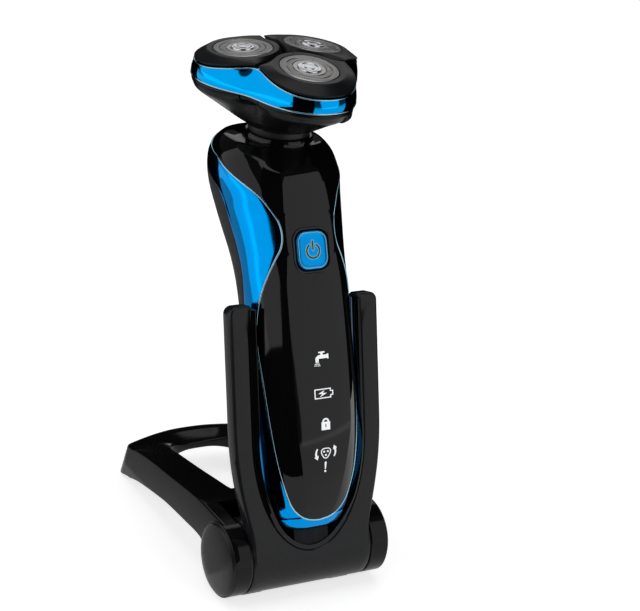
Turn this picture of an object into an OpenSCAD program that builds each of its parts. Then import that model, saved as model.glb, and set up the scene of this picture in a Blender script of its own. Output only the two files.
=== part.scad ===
// Three-head rotary shaver standing in a folding charging stand.
// Millimetres, +Z up, floor at z = 0, the stand's barrel lies along X.

/* [Stand] */
// Radius of the horizontal barrel of the stand
barrel_r = 14.2; // [12.5:0.1:16]
// Length of the middle stretch of the barrel, which is one with the arms
barrel_w = 48.8; // [46:0.2:54]
// Length of each hub of the leg, at the ends of the barrel
hub_w = 6.7; // [5.5:0.1:9]
// Gap between the barrel and each hub, filled by the friction washer
hub_gap = 0.5; // [0.4:0.05:0.9]
// Height of the rubber feet under the barrel
foot_h = 0.8; // [0.5:0.1:2]
// Lean of the stand's arms, backwards from upright, in degrees
arm_lean = 18.4; // [14:0.2:21]
// Height of the arms above the barrel's axis, along the lean
arm_h = 95; // [80:1:100]
// Width across the outside of the two arms
arms_w = 60.6; // [59:0.2:68]
// Clear width between the two arms
arms_gap = 44.4; // [43:0.2:47]
// Thickness of the arms, front to back
arm_t = 6.2; // [4:0.2:7]
// Rounding of the arms' top corners
arm_round = 3; // [1:0.2:4]
// Height of the lowest point of the opening between the arms
lip_h = 3.8; // [2:0.2:5]
// Radius of each hinge axle
axle_r = 4; // [3:0.1:5]
// Bore radius of the charging inlet
inlet_r = 2.75; // [2:0.05:3]
// Depth of the charging inlet's bore
inlet_l = 7.6; // [6:0.1:7.8]
// Upward tilt of the charging inlet, in degrees
inlet_tilt = 8; // [6:0.5:9]
// Dome height of the end caps
cap_dome = 2.5; // [1.5:0.1:4]

/* [Leg] */
// Reach of the leg behind the barrel's axis
leg_len = 96.4; // [88:0.2:110]
// Width of each arm of the leg where it is widest
leg_arm_w = 16; // [12:0.2:18]
// Height of the leg's outer wall at its rear end
leg_rear_h = 14.6; // [10:0.2:18]

/* [Handle] */
// Lean of the handle, backwards from upright, in degrees
handle_lean = 24.7; // [23:0.1:26]
// Height of the handle's underside above the barrel's axis, along the handle
handle_low = 8.6; // [8.2:0.1:10]
// Length of the handle from its underside to its shoulder cap
handle_len = 137; // [130:0.2:144]
// Width of the handle between the arms
grip_w = 40; // [38:0.2:41]
// Width of the handle's shoulder
shoulder_w = 46.4; // [44:0.2:50]
// Distance of the handle's front face ahead of the barrel's axis
front_d = 33.4; // [32:0.1:35]
// Wall of the handle's shells
wall = 1.6; // [1.2:0.1:2]
// Width of the bright trim line
trim_w = 0.8; // [0.5:0.1:1.2]
// Height that the trim line stands proud
trim_proud = 0.15; // [0.05:0.05:0.3]
// Seam between neighbouring shells
seam = 0.12; // [0.08:0.02:0.3]
// Width of the power button
button_w = 12.4; // [10:0.2:14]
// Height of the power button
button_h = 13.8; // [10:0.2:15]
// Travel of the power button
button_travel = 0.7; // [0.4:0.1:1]
// Clearance round buttons
button_gap = 0.3; // [0.2:0.05:0.5]
// Radius of the battery cell
cell_r = 6.9; // [5:0.1:7.2]
// Length of the battery cell
cell_l = 50; // [40:1:54]
// Radius of the motor
motor_r = 8; // [6:0.1:8.5]
// Length of the motor
motor_l = 30; // [24:1:32]

/* [Head] */
// Tilt of the head against the handle, in degrees
head_angle = 24.7; // [20:0.1:30]
// Distance from the neck pivot up to the plane of the cutters
neck_drop = 26.5; // [26:0.1:28]
// Radius of the ball in the neck
ball_r = 11.6; // [11:0.1:12]
// Distance of each cutter from the middle of the head
cutter_pitch_r = 16.3; // [16:0.1:17]
// Outward slope of each cutter, in degrees
dome = 6.4; // [4:0.2:8]
// Radius of each lobe of the head
lobe_r = 17.6; // [17:0.1:18.6]
// Radius of a shaving cap
cap_r = 10.6; // [9.6:0.1:10.8]
// Depth of the cutting plane above each head's tilt axis
pivot_drop = 6; // [5.8:0.1:6.6]
// Thickness of the chrome band
band_t = 1.3; // [1:0.1:1.6]
// Groove between neighbouring pads
groove = 1.3; // [1.2:0.1:1.8]
// Clearance between the pads and the chrome band
pad_gap = 0.6; // [0.55:0.05:0.8]
// Wall of the hair chamber
chamber_wall = 1.5; // [1.2:0.1:2]
// Teeth of the drive gear
drive_teeth = 16; // [14:2:18]
// Teeth of each spindle gear
spindle_teeth = 24; // [22:2:26]
// Radial clearance of running shafts
run_gap = 0.06; // [0.03:0.01:0.09]

/* [Hidden] */
$fn = 72;
hull_fn = 32;
eps = 0.01;

// Gaps that are shared by several pieces
touch = 0.05;
soft_gap = 0.3;

// ---- smooth curves through a few rows ----
// Rows are [position, value, value, ...]; curve() reads one value at any position.
function row_at(t, x, i = 0) = (i >= len(t) - 2 || x < t[i + 1][0]) ? i : row_at(t, x, i + 1);
function slope(t, i, c) = let (a = max(i - 1, 0), b = min(i + 1, len(t) - 1))
    (t[b][c] - t[a][c]) / (t[b][0] - t[a][0]);
function hermite(y0, y1, m0, m1, w, u) = y0 * (2 * u * u * u - 3 * u * u + 1)
    + m0 * w * (u * u * u - 2 * u * u + u) + y1 * (3 * u * u - 2 * u * u * u)
    + m1 * w * (u * u * u - u * u);
function curve(t, x, c) = let (i = row_at(t, x), w = t[i + 1][0] - t[i][0],
    u = min(1, max(0, (x - t[i][0]) / w)))
    hermite(t[i][c], t[i + 1][c], slope(t, i, c), slope(t, i + 1, c), w, u);
function bezier(a, b, c, d, u) = a * pow(1 - u, 3) + 3 * b * u * pow(1 - u, 2)
    + 3 * c * u * u * (1 - u) + d * pow(u, 3);
function steps(n) = [for (i = [0 : n]) i / n];

// ---- frames ----
axis_z = barrel_r + foot_h;
axis_y = -(leg_len - barrel_r) / 2;
lean_step = handle_lean - arm_lean;
pivot_d = -front_d / 2;
pivot_h = handle_low + handle_len + 11.5;

module at_axis() { translate([0, axis_y, axis_z]) children(); }
module arm_space() { at_axis() rotate([-arm_lean, 0, 0]) children(); }
module handle_space() { at_axis() rotate([-handle_lean, 0, 0]) children(); }
module pivot_space() { handle_space() translate([0, pivot_d, pivot_h]) rotate([head_angle, 0, 0]) children(); }
module head_space() { pivot_space() translate([0, 0, neck_drop]) children(); }
module handle_in_arms() { rotate([-lean_step, 0, 0]) children(); }
module along_x(x) { translate([x, 0, 0]) rotate([0, 90, 0]) children(); }
module both_sides() { for (m = [0, 1]) mirror([m, 0, 0]) children(); }

// ---- handle surface ----
// Rows: height above the underside, front, rear, half width
u_len = handle_len / 137;
half = grip_w / 2;
shoulder = shoulder_w / 2;
sections = [
    [-1.4, 16 - front_d, -6, half - 12.4],
    [0, 15.8 - front_d, -6, half - 12],
    [1.2, 14 - front_d, -4, half - 8.8],
    [4.4, 12 - front_d, -2.2, half - 6],
    [11.4 * u_len, 8.6 - front_d, -0.8, half - 3.6],
    [23.4 * u_len, 4.2 - front_d, 0, half - 1.8],
    [39.4 * u_len, 1.1 - front_d, 0.8, half - 0.7],
    [61.4 * u_len, 0 - front_d, 1.4, half - 0.1],
    [88.4 * u_len, -0.1 - front_d, 2, half],
    [101.4 * u_len, 0.1 - front_d, 5.2, half + 0.3],
    [119.4 * u_len, 1.2 - front_d, 12, shoulder - 1],
    [129.4 * u_len, 2.6 - front_d, 14, shoulder + 0.2],
    [137 * u_len, 5 - front_d, 13.1, shoulder - 0.8],
    [141.4 * u_len, 6.8 - front_d, 9.5, shoulder - 3.4],
    [144.9 * u_len, 7.8 - front_d, 3.5, shoulder - 7.7],
    [146.4 * u_len, 8.4 - front_d, -1, shoulder - 10.7]];
squareness = 2.3;
function spow(x) = sign(x) * pow(abs(x), 2 / squareness);
// Half width of the flat facet down the front, and how far back its edge lies
facet_rows = [[-1.4, 4], [0, 4], [5.4, 5], [11.4 * u_len, 7], [27.4 * u_len, 9.5], [39.4 * u_len, 11],
    [88.4 * u_len, 11], [101.4 * u_len, 9.8], [116.4 * u_len, 9.3], [129.4 * u_len, 8], [137 * u_len, 6],
    [146.4 * u_len, 3]];
facet_blend = 6;
// How far the shoulder's front and rear lie above their row
lift_rows = [[-1.4, 0, 0], [106 * u_len, 0, 0], [114 * u_len, 0, 0.3], [122 * u_len, 0, 1.4], [130 * u_len, -0.9, 3.6],
    [137 * u_len, -2.6, 6.2], [141.4 * u_len, -3.8, 7.2], [146.4 * u_len, -5, 6.4]];
function drop(x, a, b) = b * (1 - pow(max(0, 1 - pow(min(1, x / a), squareness)), 1 / squareness));
// Point of the handle at angle v from the front, height u above the underside, moved out by o
function skin(v, u, o) = let (f = curve(sections, u, 1), r = curve(sections, u, 2),
    a = curve(sections, u, 3) + o, b = (r - f) / 2 + o, x = a * spow(sin(v)), w = abs(x),
    q = (f + r) / 2 - b * spow(cos(v)), g = curve(facet_rows, u, 1), k = drop(g, a, b) / 2,
    y = cos(v) <= 0 ? q : w < g ? f - o + k * pow(w / g, 2)
        : w < g + facet_blend ? q - k * pow((g + facet_blend - w) / facet_blend, 2) : q,
    t = max(0, min(1, (y - f) / (r - f))))
    [x, y, handle_low + u + curve(lift_rows, u, 1) * (1 - t) + curve(lift_rows, u, 2) * t];
function skin_loop(u, o) = [for (i = [0 : ring_n - 1]) skin(360 * i / ring_n, u, o)];
ring_n = 48;

// Angle of the trim line, and of the edge of the back grip, at each height
trim_rows = [[5.4, 26], [9.1, 39], [15.6 * u_len, 49], [24.8 * u_len, 58.3],
    [37.9 * u_len, 65.4], [56.8 * u_len, 70.9], [68.3 * u_len, 74.5], [74.6 * u_len, 74],
    [81.9 * u_len, 68.8], [87.8 * u_len, 60.9], [99.7 * u_len, 38.4], [103.4 * u_len, 31],
    [107.8 * u_len, 27.5], [112.8 * u_len, 28.5], [117.5 * u_len, 34.4], [122.4 * u_len, 42.8],
    [127.3 * u_len, 55.8], [133.7 * u_len, 75.5], [137 * u_len, 89]];
grip_rows = [[5.4, 104], [60 * u_len, 97], [89 * u_len, 91], [98 * u_len, 88.5], [112 * u_len, 88.5],
    [122 * u_len, 89.5], [126.8 * u_len, 92.5], [130 * u_len, 100], [133.5 * u_len, 116], [137 * u_len, 138]];
function trim_v(u) = curve(trim_rows, u, 1);
function grip_v(u) = curve(grip_rows, u, 1);
shell_low = 5.4;
trim_half = trim_w / 2 / half * 57.3;
seam_v = seam / half * 57.3;

// A curved plate of the handle between two angles, rows of [u, low v, high v]
module skin_plate(rows, cols, o_out, o_in) {
    n = len(rows);
    m = cols + 1;
    function grid(o) = [for (r = rows) for (j = [0 : cols]) skin(r[1] + (r[2] - r[1]) * j / cols, r[0], o)];
    pts = concat(grid(o_out), grid(o_in));
    k = n * m;
    faces = concat(
        [for (i = [0 : n - 2]) for (j = [0 : cols - 1]) each
            [[i * m + j, (i + 1) * m + j, i * m + j + 1],
             [i * m + j + 1, (i + 1) * m + j, (i + 1) * m + j + 1],
             [k + i * m + j, k + i * m + j + 1, k + (i + 1) * m + j],
             [k + i * m + j + 1, k + (i + 1) * m + j + 1, k + (i + 1) * m + j]]],
        [for (j = [0 : cols - 1]) each
            [[j, j + 1, k + j + 1], [j, k + j + 1, k + j],
             [k - m + j, 2 * k - m + j, 2 * k - m + j + 1],
             [k - m + j, 2 * k - m + j + 1, k - m + j + 1]]],
        [for (i = [0 : n - 2]) each
            [[i * m, k + i * m, k + (i + 1) * m], [i * m, k + (i + 1) * m, (i + 1) * m],
             [i * m + cols, (i + 1) * m + cols, k + (i + 1) * m + cols],
             [i * m + cols, k + (i + 1) * m + cols, k + i * m + cols]]]);
    polyhedron(pts, faces);
}
function heights(low, n) = [for (t = steps(n)) low + (handle_len - low) * t];
plate_rows = 34;

// Faces between neighbouring loops of n points, loops running upwards on the outside
function wall_faces(n, m, shut) = [for (i = [0 : m - (shut ? 1 : 2)]) for (j = [0 : n - 1])
    let (a = i * n + j, b = i * n + (j + 1) % n, k = (i + 1) % m, d = k * n + j, c = k * n + (j + 1) % n)
    each [[a, d, b], [b, d, c]]];
// A ring: its loops go up the outside and down the inside
module loop_ring(loops) {
    n = len(loops[0]);
    polyhedron([for (l = loops) each l], wall_faces(n, len(loops), true));
}
// A solid: its loops go up the outside, each end shut by a fan about its middle
function middle(l) = [for (c = [0 : 2]) (max([for (p = l) p[c]]) + min([for (p = l) p[c]])) / 2];
module loop_solid(loops) {
    n = len(loops[0]);
    m = len(loops);
    pts = concat([for (l = loops) each l], [middle(loops[0]), middle(loops[m - 1])]);
    polyhedron(pts, concat(wall_faces(n, m, false),
        [for (j = [0 : n - 1]) [j, (j + 1) % n, m * n]],
        [for (j = [0 : n - 1]) [(m - 1) * n + (j + 1) % n, (m - 1) * n + j, m * n + 1]]));
}
module skin_block(list, o) { loop_solid([for (u = list) skin_loop(u, o)]); }

// ---- stand ----
mid_x = barrel_w / 2;
hub_x = mid_x + hub_gap;
end_x = hub_x + hub_w;
face_y = -barrel_r;
opening_r = arms_gap / 2;
opening_top = 45;
axle_in = 7;
axle_head_r = axle_r + 2;
axle_head_t = 1.2;
recess_gap = 0.6;

function both_halves(l) = concat(l, [for (i = [len(l) - 1 : -1 : 0]) if (l[i][0] > 0) [-l[i][0], l[i][1]]]);
// Outline of the arms, from the bottom up
function arm_outline() = both_halves(concat([[0, 0], [mid_x - 0.2, 0], [mid_x, 8]],
    [for (t = steps(6)) bezier([mid_x + 0.7, 12], [mid_x + 3.6, 24], [arms_w / 2, 34],
        [arms_w / 2, 50], t)],
    [for (a = [0 : 15 : 90]) [arms_w / 2 - arm_round + arm_round * cos(a), arm_h - arm_round + arm_round * sin(a)]],
    [[0, arm_h]]));
// Opening between the arms: straight above, a half ellipse below
function opening_outline(o) = both_halves(concat([[0, arm_h + 5], [opening_r + o, arm_h + 5]],
    [for (a = [0 : 6 : 90]) [(opening_r + o) * cos(a), opening_top - (opening_top - lip_h + o) * sin(a)]]));
module in_plan(y0, y1) { translate([0, y1, 0]) rotate([90, 0, 0]) linear_extrude(y1 - y0) children(); }

module handle_room() { handle_in_arms() skin_block([-1.4, 0, 1.2, 4.4, 11.4, 17, 23.4, 31, 39.4, 50], recess_gap); }

pin_x = 4;
pin_d = -11.8;
pin_r = 1;
wire_r = 0.6;
board_l = 26;
well_r = 5.2;
inlet_wall = 1.2;
inlet_y = barrel_r - 0.4;
axle_seat = 0.02;

module cradle() color("#26272a") difference() {
    arm_space() difference() {
        union() {
            difference() {
                in_plan(face_y, face_y + arm_t) polygon(arm_outline());
                both_sides() along_x(mid_x) cylinder(r = barrel_r + soft_gap + 0.1, h = 20);
            }
            along_x(-mid_x) cylinder(r = barrel_r, h = barrel_w);
        }
        in_plan(face_y - 1, face_y + arm_t + 0.5) polygon(opening_outline(0));
        for (i = [0 : 3]) in_plan(face_y - 1, face_y + 0.35 + 0.35 * i) polygon(opening_outline(1.6 - 0.4 * i));
        handle_room();
        both_sides() along_x(mid_x - axle_in) cylinder(r = axle_r + axle_seat, h = axle_in + 1);
        along_x(-board_l / 2 - 0.2) cylinder(r = well_r, h = board_l + 0.4);
    }
    inlet_space() translate([0, 0, -1.4]) cylinder(r = inlet_r + inlet_wall + 0.02, h = 1.4 + inlet_l + 0.6);
    handle_space() both_sides() translate([pin_x, pin_d, 0]) {
        translate([0, 0, -0.05]) cylinder(r = pin_r + 0.03, h = 9);
        rotate([-90, 0, 0]) translate([0, -wire_r, 0]) cylinder(r = wire_r + 0.03, h = 8);
    }
}

module contact_pins() color("#d8b25a") handle_space() both_sides() translate([pin_x, pin_d, 0]) {
    cylinder(r = pin_r, h = handle_low - touch);
    rotate([-90, 0, 0]) translate([0, -wire_r, 0]) cylinder(r = wire_r, h = 7);
}

module charging_board() color("#1f5b3a") at_axis() rotate([-handle_lean, 0, 0]) difference() {
    translate([-board_l / 2, -well_r + 0.1, -0.8]) cube([board_l, 2 * well_r - 0.2, 1.6]);
    both_sides() translate([pin_x, pin_d, 0]) rotate([-90, 0, 0]) translate([0, -wire_r, 0])
        cylinder(r = wire_r + 0.02, h = 8);
}

module inlet_space() { at_axis() rotate([inlet_tilt, 0, 0]) translate([0, inlet_y, 0]) rotate([90, 0, 0]) children(); }
module dc_inlet() color("#1b1c1e") inlet_space() difference() {
    cylinder(r = inlet_r + inlet_wall, h = inlet_l + 0.6);
    translate([0, 0, -eps]) cylinder(r = inlet_r, h = inlet_l);
}

module stand_feet() color("#3a3a3c") at_axis() difference() {
    both_sides() translate([mid_x - 10, -4, -axis_z]) cube([8, 8, foot_h + 1.2]);
    along_x(-mid_x) cylinder(r = barrel_r + 0.01, h = barrel_w, $fn = 180);
}

module hinge_axles() color("#a9adb2") at_axis() both_sides() along_x(mid_x - axle_in + 0.05) {
    cylinder(r = axle_r, h = axle_in + hub_gap + hub_w - axle_head_t - 0.4);
    translate([0, 0, axle_in + hub_gap + hub_w - axle_head_t - 0.5]) cylinder(r = axle_head_r, h = axle_head_t);
}

module friction_washers() color("#55585c") at_axis() both_sides() along_x(mid_x + 0.01) difference() {
    cylinder(r = barrel_r - 0.6, h = hub_gap - 0.05);
    translate([0, 0, -1]) cylinder(r = axle_r + axle_seat, h = 3);
}

module recess_pad() color("#2f3033") difference() {
    intersection() {
        handle_space() translate([-7, pin_d - 2.1, 2]) cube([14, 6.8, handle_low - touch - 2]);
        arm_space() in_plan(face_y + 0.2, face_y + arm_t + 0.4) polygon(opening_outline(-touch));
    }
    handle_space() both_sides() translate([pin_x, pin_d, 0]) cylinder(r = pin_r + 0.05, h = 12);
}

// ---- leg ----
leg_t = leg_rear_h;
leg_side = [[0, barrel_r], [4.7, barrel_r - 0.1], [15, barrel_r - 0.5], [23.5, 13.2], [46, 9.4], [66, 5.8],
    [leg_len - 12.4, 1.4], [leg_len - 4, 0.1], [leg_len, -0.8], [leg_len, -0.8 - leg_t * 0.55],
    [leg_len - 2, -leg_t + 2.4], [leg_len - 4, -leg_t + 1], [leg_len - 6.6, -leg_t + 0.2],
    [leg_len - 9, -leg_t + 0.2], [leg_len - 20.4, -leg_t + 4.6], [68, -7.9], [52, -4.5],
    [45, -3.4], [29, -1.7], [18, -0.8], [13.4, -2], [8, -6], [0, -6]];
// Outline of the leg seen from above, and of the hole in it
function leg_outline() = both_halves(concat([[0, 0], [end_x, 0]],
    [for (t = steps(5)) bezier([end_x, leg_len - 10.6], [end_x, leg_len - 8], [end_x - 0.6, leg_len - 6.8],
        [end_x - 3, leg_len - 5.8], t)],
    [for (t = steps(8)) bezier([end_x - 4, leg_len - 5.4], [end_x - 12, leg_len - 2],
        [leg_len * 0.1, leg_len], [0, leg_len], t)]));
hole_half = end_x - leg_arm_w;
plug_w = 12;
bar_y = barrel_r + 2.8;
function leg_hole() = both_halves(concat([[0, barrel_r + 12], [hole_half - 2, barrel_r + 12]],
    [for (t = steps(4)) bezier([hole_half - 2, barrel_r + 12], [hole_half - 0.6, barrel_r + 12],
        [hole_half, barrel_r + 12.5], [hole_half + 0.3, barrel_r + 15], t)],
    [for (t = steps(5)) bezier([hole_half + 2.6, 56], [hole_half + 3, 64],
        [hole_half + 2.4, leg_len - 21.5], [hole_half - 1, leg_len - 18], t)],
    [for (t = steps(5)) bezier([hole_half - 2.6, leg_len - 16.8], [hole_half - 7, leg_len - 13.8],
        [4, leg_len - 13.2], [0, leg_len - 13.2], t)]));
// Arch under the leg's rear bar, half width and height above the ground
function leg_arch() = both_halves([[0, -20], [25.5 - 0.6, -20], [25.5 - 1.6, -12.4], [25.5 - 3.6, -9.6], [25.5 - 7.6, -7.4],
    [25.5 - 13.6, -6], [6, -5.4], [0, -5.4]]);
foot_y = leg_len - 9.2;
foot_x = 26.9;

module leg_frame() color("#1d1e21") at_axis() difference() {
    union() {
        intersection() {
            translate([0, 0, -30]) linear_extrude(60) polygon(leg_outline());
            rotate([90, 0, 90]) translate([0, 0, -40]) linear_extrude(80) polygon(leg_side);
            translate([-40, 0, -40]) cube([80, 200, 80]);
        }
        both_sides() along_x(hub_x) cylinder(r = barrel_r, h = hub_w);
    }
    translate([0, 0, -30]) linear_extrude(60) polygon(leg_hole());
    along_x(-hub_x) cylinder(r = barrel_r + 0.7, h = 2 * hub_x);
    both_sides() along_x(hub_x - 1) cylinder(r = axle_r + run_gap, h = hub_w + 2);
    translate([-plug_w / 2, 5, -30]) cube([plug_w, 40, 30 + plug_w * 0.7]);
    translate([-hub_x, -30, -30]) cube([2 * hub_x, 30 + bar_y, 80]);
    both_sides() along_x(end_x - axle_head_t - 0.7) cylinder(r = axle_head_r + 0.15, h = 3);
    both_sides() translate([foot_x, foot_y, -30]) cylinder(r = 2.3, h = 30 - axis_z + 2.4);
    translate([0, leg_len + 10, 0]) rotate([90, 0, 0]) linear_extrude(40) polygon(leg_arch());
}

module leg_feet() color("#3a3a3c") at_axis() both_sides() translate([foot_x, foot_y, -axis_z])
    cylinder(r = 2.28, h = 2.35);

module end_cap(m) at_axis() mirror([m, 0, 0]) along_x(end_x + 0.02) rotate_extrude() polygon(concat(
    [[0, 0], [barrel_r - 0.1, 0], [barrel_r - 0.1, 0.55], [barrel_r - 0.7, 0.85], [barrel_r - 1.3, 0.85], [barrel_r - 1.4, 0.6]],
    [for (t = steps(7)) [(barrel_r - 1.6) * cos(90 * t), 0.6 + (cap_dome - 0.6) * sin(90 * t)]]));
module left_end_cap() color("#1d1e21") end_cap(1);
module right_end_cap() color("#1d1e21") end_cap(0);

// ---- handle shells ----
btn_u = 102 * u_len;
btn_frame = 1;
hole_w = button_w + 2 * button_gap + 2 * btn_frame + 0.1;
hole_h = button_h + 2 * button_gap + 2 * btn_frame + 0.1;
module squircle(w, h, r) { offset(r) square([w - 2 * r, h - 2 * r], center = true); }
module facing(u) { handle_space() translate([0, 0, handle_low + u]) rotate([90, 0, 0]) children(); }

module front_shell() color("#141517") difference() {
    handle_space() skin_plate([for (u = heights(shell_low, plate_rows)) [u, -(trim_v(u) - trim_half - seam_v),
        trim_v(u) - trim_half - seam_v]], 14, 0, -wall);
    facing(btn_u) linear_extrude(60) squircle(hole_w, hole_h, 4.5);
}
module side_panel(s) {
    handle_space() skin_plate([for (u = heights(shell_low, plate_rows))
        s > 0 ? [u, trim_v(u) + trim_half + seam_v, grip_v(u) - seam_v]
              : [u, seam_v - grip_v(u), -trim_v(u) - trim_half - seam_v]], 5, 0, -wall);
}
module left_side_panel() color("#0a86d8") side_panel(-1);
module right_side_panel() color("#0a86d8") side_panel(1);
module panel_trim() color("#c9ccd0") handle_space() for (s = [-1, 1])
    skin_plate([for (u = heights(shell_low, plate_rows)) [u, s * trim_v(u) - trim_half, s * trim_v(u) + trim_half]],
        1, trim_proud, -wall + 0.3);
module back_grip() color("#37393c") handle_space()
    skin_plate([for (u = heights(shell_low, plate_rows)) [u, grip_v(u) + seam_v, 360 - grip_v(u) - seam_v]], 14, 0, -wall);

module bottom_cap() color("#0a86d8") difference() {
    handle_space() skin_block([0, 0.5, 1.2, 2.6, 4.4, shell_low - 0.1], 0);
    handle_space() skin_block([wall, 2.6, 4.4, shell_low + 0.4], -wall);
    handle_space() both_sides() translate([pin_x, pin_d, handle_low - 1]) cylinder(r = 1.52, h = 4);
}
module charge_contacts() color("#c9a24e") handle_space() both_sides() translate([pin_x, pin_d, handle_low]) {
    cylinder(r = 1.5, h = wall);
    translate([0, 0, wall]) cylinder(r = 2, h = 0.8);
}

// ---- inside the handle ----
cell_d = -2 - cell_r;
frame_d = cell_d - cell_r - 3.2;
frame_t = 1.6;
module inner_frame() color("#d8d9d6") handle_space() difference() {
    union() {
        translate([-11, frame_d, handle_low + 12 * u_len]) cube([22, frame_t, handle_len - 42 - 2 * u_len]);
        for (u = [15 * u_len, 72 * u_len, handle_len - 36]) translate([-13, frame_d, handle_low + u]) cube([26, 9, 1.4]);
    }
    translate([0, cell_d, handle_low + 15.9 * u_len]) cylinder(r = cell_r + 0.1, h = handle_len);
    for (u = screw_u) translate([0, frame_d - 1, handle_low + u]) rotate([-90, 0, 0]) cylinder(r = 1.02, h = 5);
}
screw_u = [34.2 * u_len, 97 * u_len];
module battery() color("#6f9a3e") handle_space() {
    translate([0, cell_d, handle_low + 16 * u_len]) cylinder(r = cell_r, h = cell_l);
    translate([0, cell_d, handle_low + 16 * u_len + cell_l]) cylinder(r = 2.2, h = 1);
}
motor_top = -13;
can_r = motor_r - 0.6;
shaft_thin = 1;
module motor() color("#b4b7ba") pivot_space() difference() {
    translate([0, 0, motor_top - motor_l]) cylinder(r = can_r, h = motor_l);
    translate([0, 0, motor_top - motor_l + 1]) cylinder(r = can_r - 0.7, h = motor_l - 2);
    translate([0, 0, motor_top - motor_l - 1]) cylinder(r = shaft_thin + run_gap, h = motor_l + 2);
}
tip_r = 2;
module motor_shaft() color("#9a9da1") pivot_space() {
    translate([0, 0, motor_top - motor_l + 0.2]) cylinder(r = shaft_thin, h = motor_l - motor_top - 0.2);
    translate([0, 0, motor_top - motor_l + 3]) cylinder(r = can_r - 1.3, h = motor_l - 6);
    sphere(r = tip_r);
}
pcb_d = 9.4 - front_d;
pcb_t = 1.4;
module circuit_board() color("#1f5b3a") handle_space() difference() {
    translate([-10, pcb_d, handle_low + 22 * u_len]) cube([20, pcb_t, handle_len - 56]);
    for (u = screw_u) translate([0, pcb_d - 1, handle_low + u]) rotate([-90, 0, 0]) cylinder(r = 1.02, h = 5);
}
module frame_screws() color("#8d9196") handle_space() for (u = screw_u)
    translate([0, pcb_d - 1, handle_low + u]) rotate([-90, 0, 0]) {
        cylinder(r = 2, h = 1);
        cylinder(r = 1, h = frame_d - pcb_d + frame_t + 1);
    }
lamp_h = 2.6;
lamp_u = [62.9 * u_len, 50.5 * u_len, 39.5 * u_len, 28.9 * u_len, 23.6 * u_len];
module indicator_lamps() color("#dfe3e8") handle_space() for (u = lamp_u)
    let (y = skin(0, u - lamp_h / 2, -wall)[1] + 0.12)
    translate([-2.2, y, handle_low + u - lamp_h / 2]) cube([4.4, pcb_d - y, lamp_h]);
btn_front = skin(0, 102 * u_len, 0)[1];
module button_frame() color("#8b8e92") facing(btn_u) difference() {
    translate([0, 0, -btn_front - 3.4]) linear_extrude(3.6) squircle(hole_w - 0.1, hole_h - 0.1, 4.4);
    translate([0, 0, -btn_front - 9]) linear_extrude(20) squircle(button_w + 2 * button_gap, button_h + 2 * button_gap, 3.6);
}
module power_button() color("#0d8fe0") facing(btn_u) {
    translate([0, 0, -btn_front - 2.6]) linear_extrude(3.2) squircle(button_w, button_h, 3.4);
    translate([0, 0, -pcb_d + 3.2 + button_travel + 0.1]) cylinder(r = 2, h = -btn_front - 2.5 + pcb_d - 3.2 - button_travel - 0.1);
}
module button_switch() color("#202123") facing(btn_u) {
    translate([0, 0, -pcb_d + 1.2]) cube([6, 6, 2.4], center = true);
    translate([0, 0, -pcb_d + 2.3]) cylinder(r = 1.6, h = 0.8);
}

// ---- shoulder and neck ----
collar_r = 12.3;
collar_top = -2.2;
collar_low = -10.5;
socket_gap = 0.35;
module shoulder_cap() color("#17181a") difference() {
    handle_space() skin_block([for (u = [137, 138.6, 140.2, 141.4, 142.8, 144, 144.9, 145.8, 146.4]) u * u_len + 0.12], 0);
    handle_space() skin_block([for (u = [136.5, 138.6, 140.2, 141.4, 142.8, 144]) u * u_len], -wall);
    pivot_space() translate([0, 0, collar_low - 0.02]) cylinder(r = collar_r + 0.02, h = 30);
}
module neck_collar() color("#1b1c1e") pivot_space() difference() {
    translate([0, 0, collar_low]) cylinder(r = collar_r, h = collar_top - collar_low);
    sphere(r = ball_r + socket_gap);
}
module neck_ball() color("#2a2b2d") pivot_space() difference() {
    intersection() {
        sphere(r = ball_r);
        translate([0, 0, -9.5]) cylinder(r = 20, h = 9.5);
    }
    translate([0, 0, -2.6]) cylinder(r = shaft_r + 0.1, h = 10);
    translate([0, 0, -10]) cylinder(r1 = 4.6, r2 = shaft_r + 0.1, h = 7.5);
}

// ---- head ----
lobe_angles = [-90, 30, 150];
shaft_r = 3.2;
blend_p = 3.2;
function lobe_ray(t, r) = max(0, cutter_pitch_r * cos(t) + sqrt(max(0, r * r - pow(cutter_pitch_r * sin(t), 2))));
function lobes(t, r) = pow(pow(lobe_ray(t + 90, r), blend_p) + pow(lobe_ray(t - 30, r), blend_p)
    + pow(lobe_ray(t - 150, r), blend_p), 1 / blend_p);
head_n = 72;
// A loop of the head: lobes of radius r, drawn in towards a circle of radius c by the share k
function head_loop(r, z, k = 0, c = 0) = [for (i = [0 : head_n - 1]) let (t = 360 * i / head_n,
    q = lobes(t, r) * (1 - k) + c * k) [q * cos(t), q * sin(t), z]];
band_low = -11;
band_high = -5.6;
function band_top(t) = band_high + 5 * pow((1 - cos(3 * (t + 90))) / 2, 1.5);
function wave_loop(r, o, dz) = [for (i = [0 : head_n - 1]) let (t = 360 * i / head_n, q = lobes(t, r) + o)
    [q * cos(t), q * sin(t), band_top(t) + dz]];
function flat_loop(r, o, z) = [for (i = [0 : head_n - 1]) let (t = 360 * i / head_n, q = lobes(t, r) + o)
    [q * cos(t), q * sin(t), z]];
band_r = lobe_r - 0.6;
hinge_y = 26.9;
hinge_z = band_low - 0.2;
knuckle_r = 1.8;
pin_hinge_r = 0.9;
knuckle_in = 3;
knuckle_out = 6;
module hinge_slot() { translate([-knuckle_in - 0.2, 18, band_low - 1]) cube([2 * knuckle_in + 0.4, 12, 2.9]); }

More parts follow.
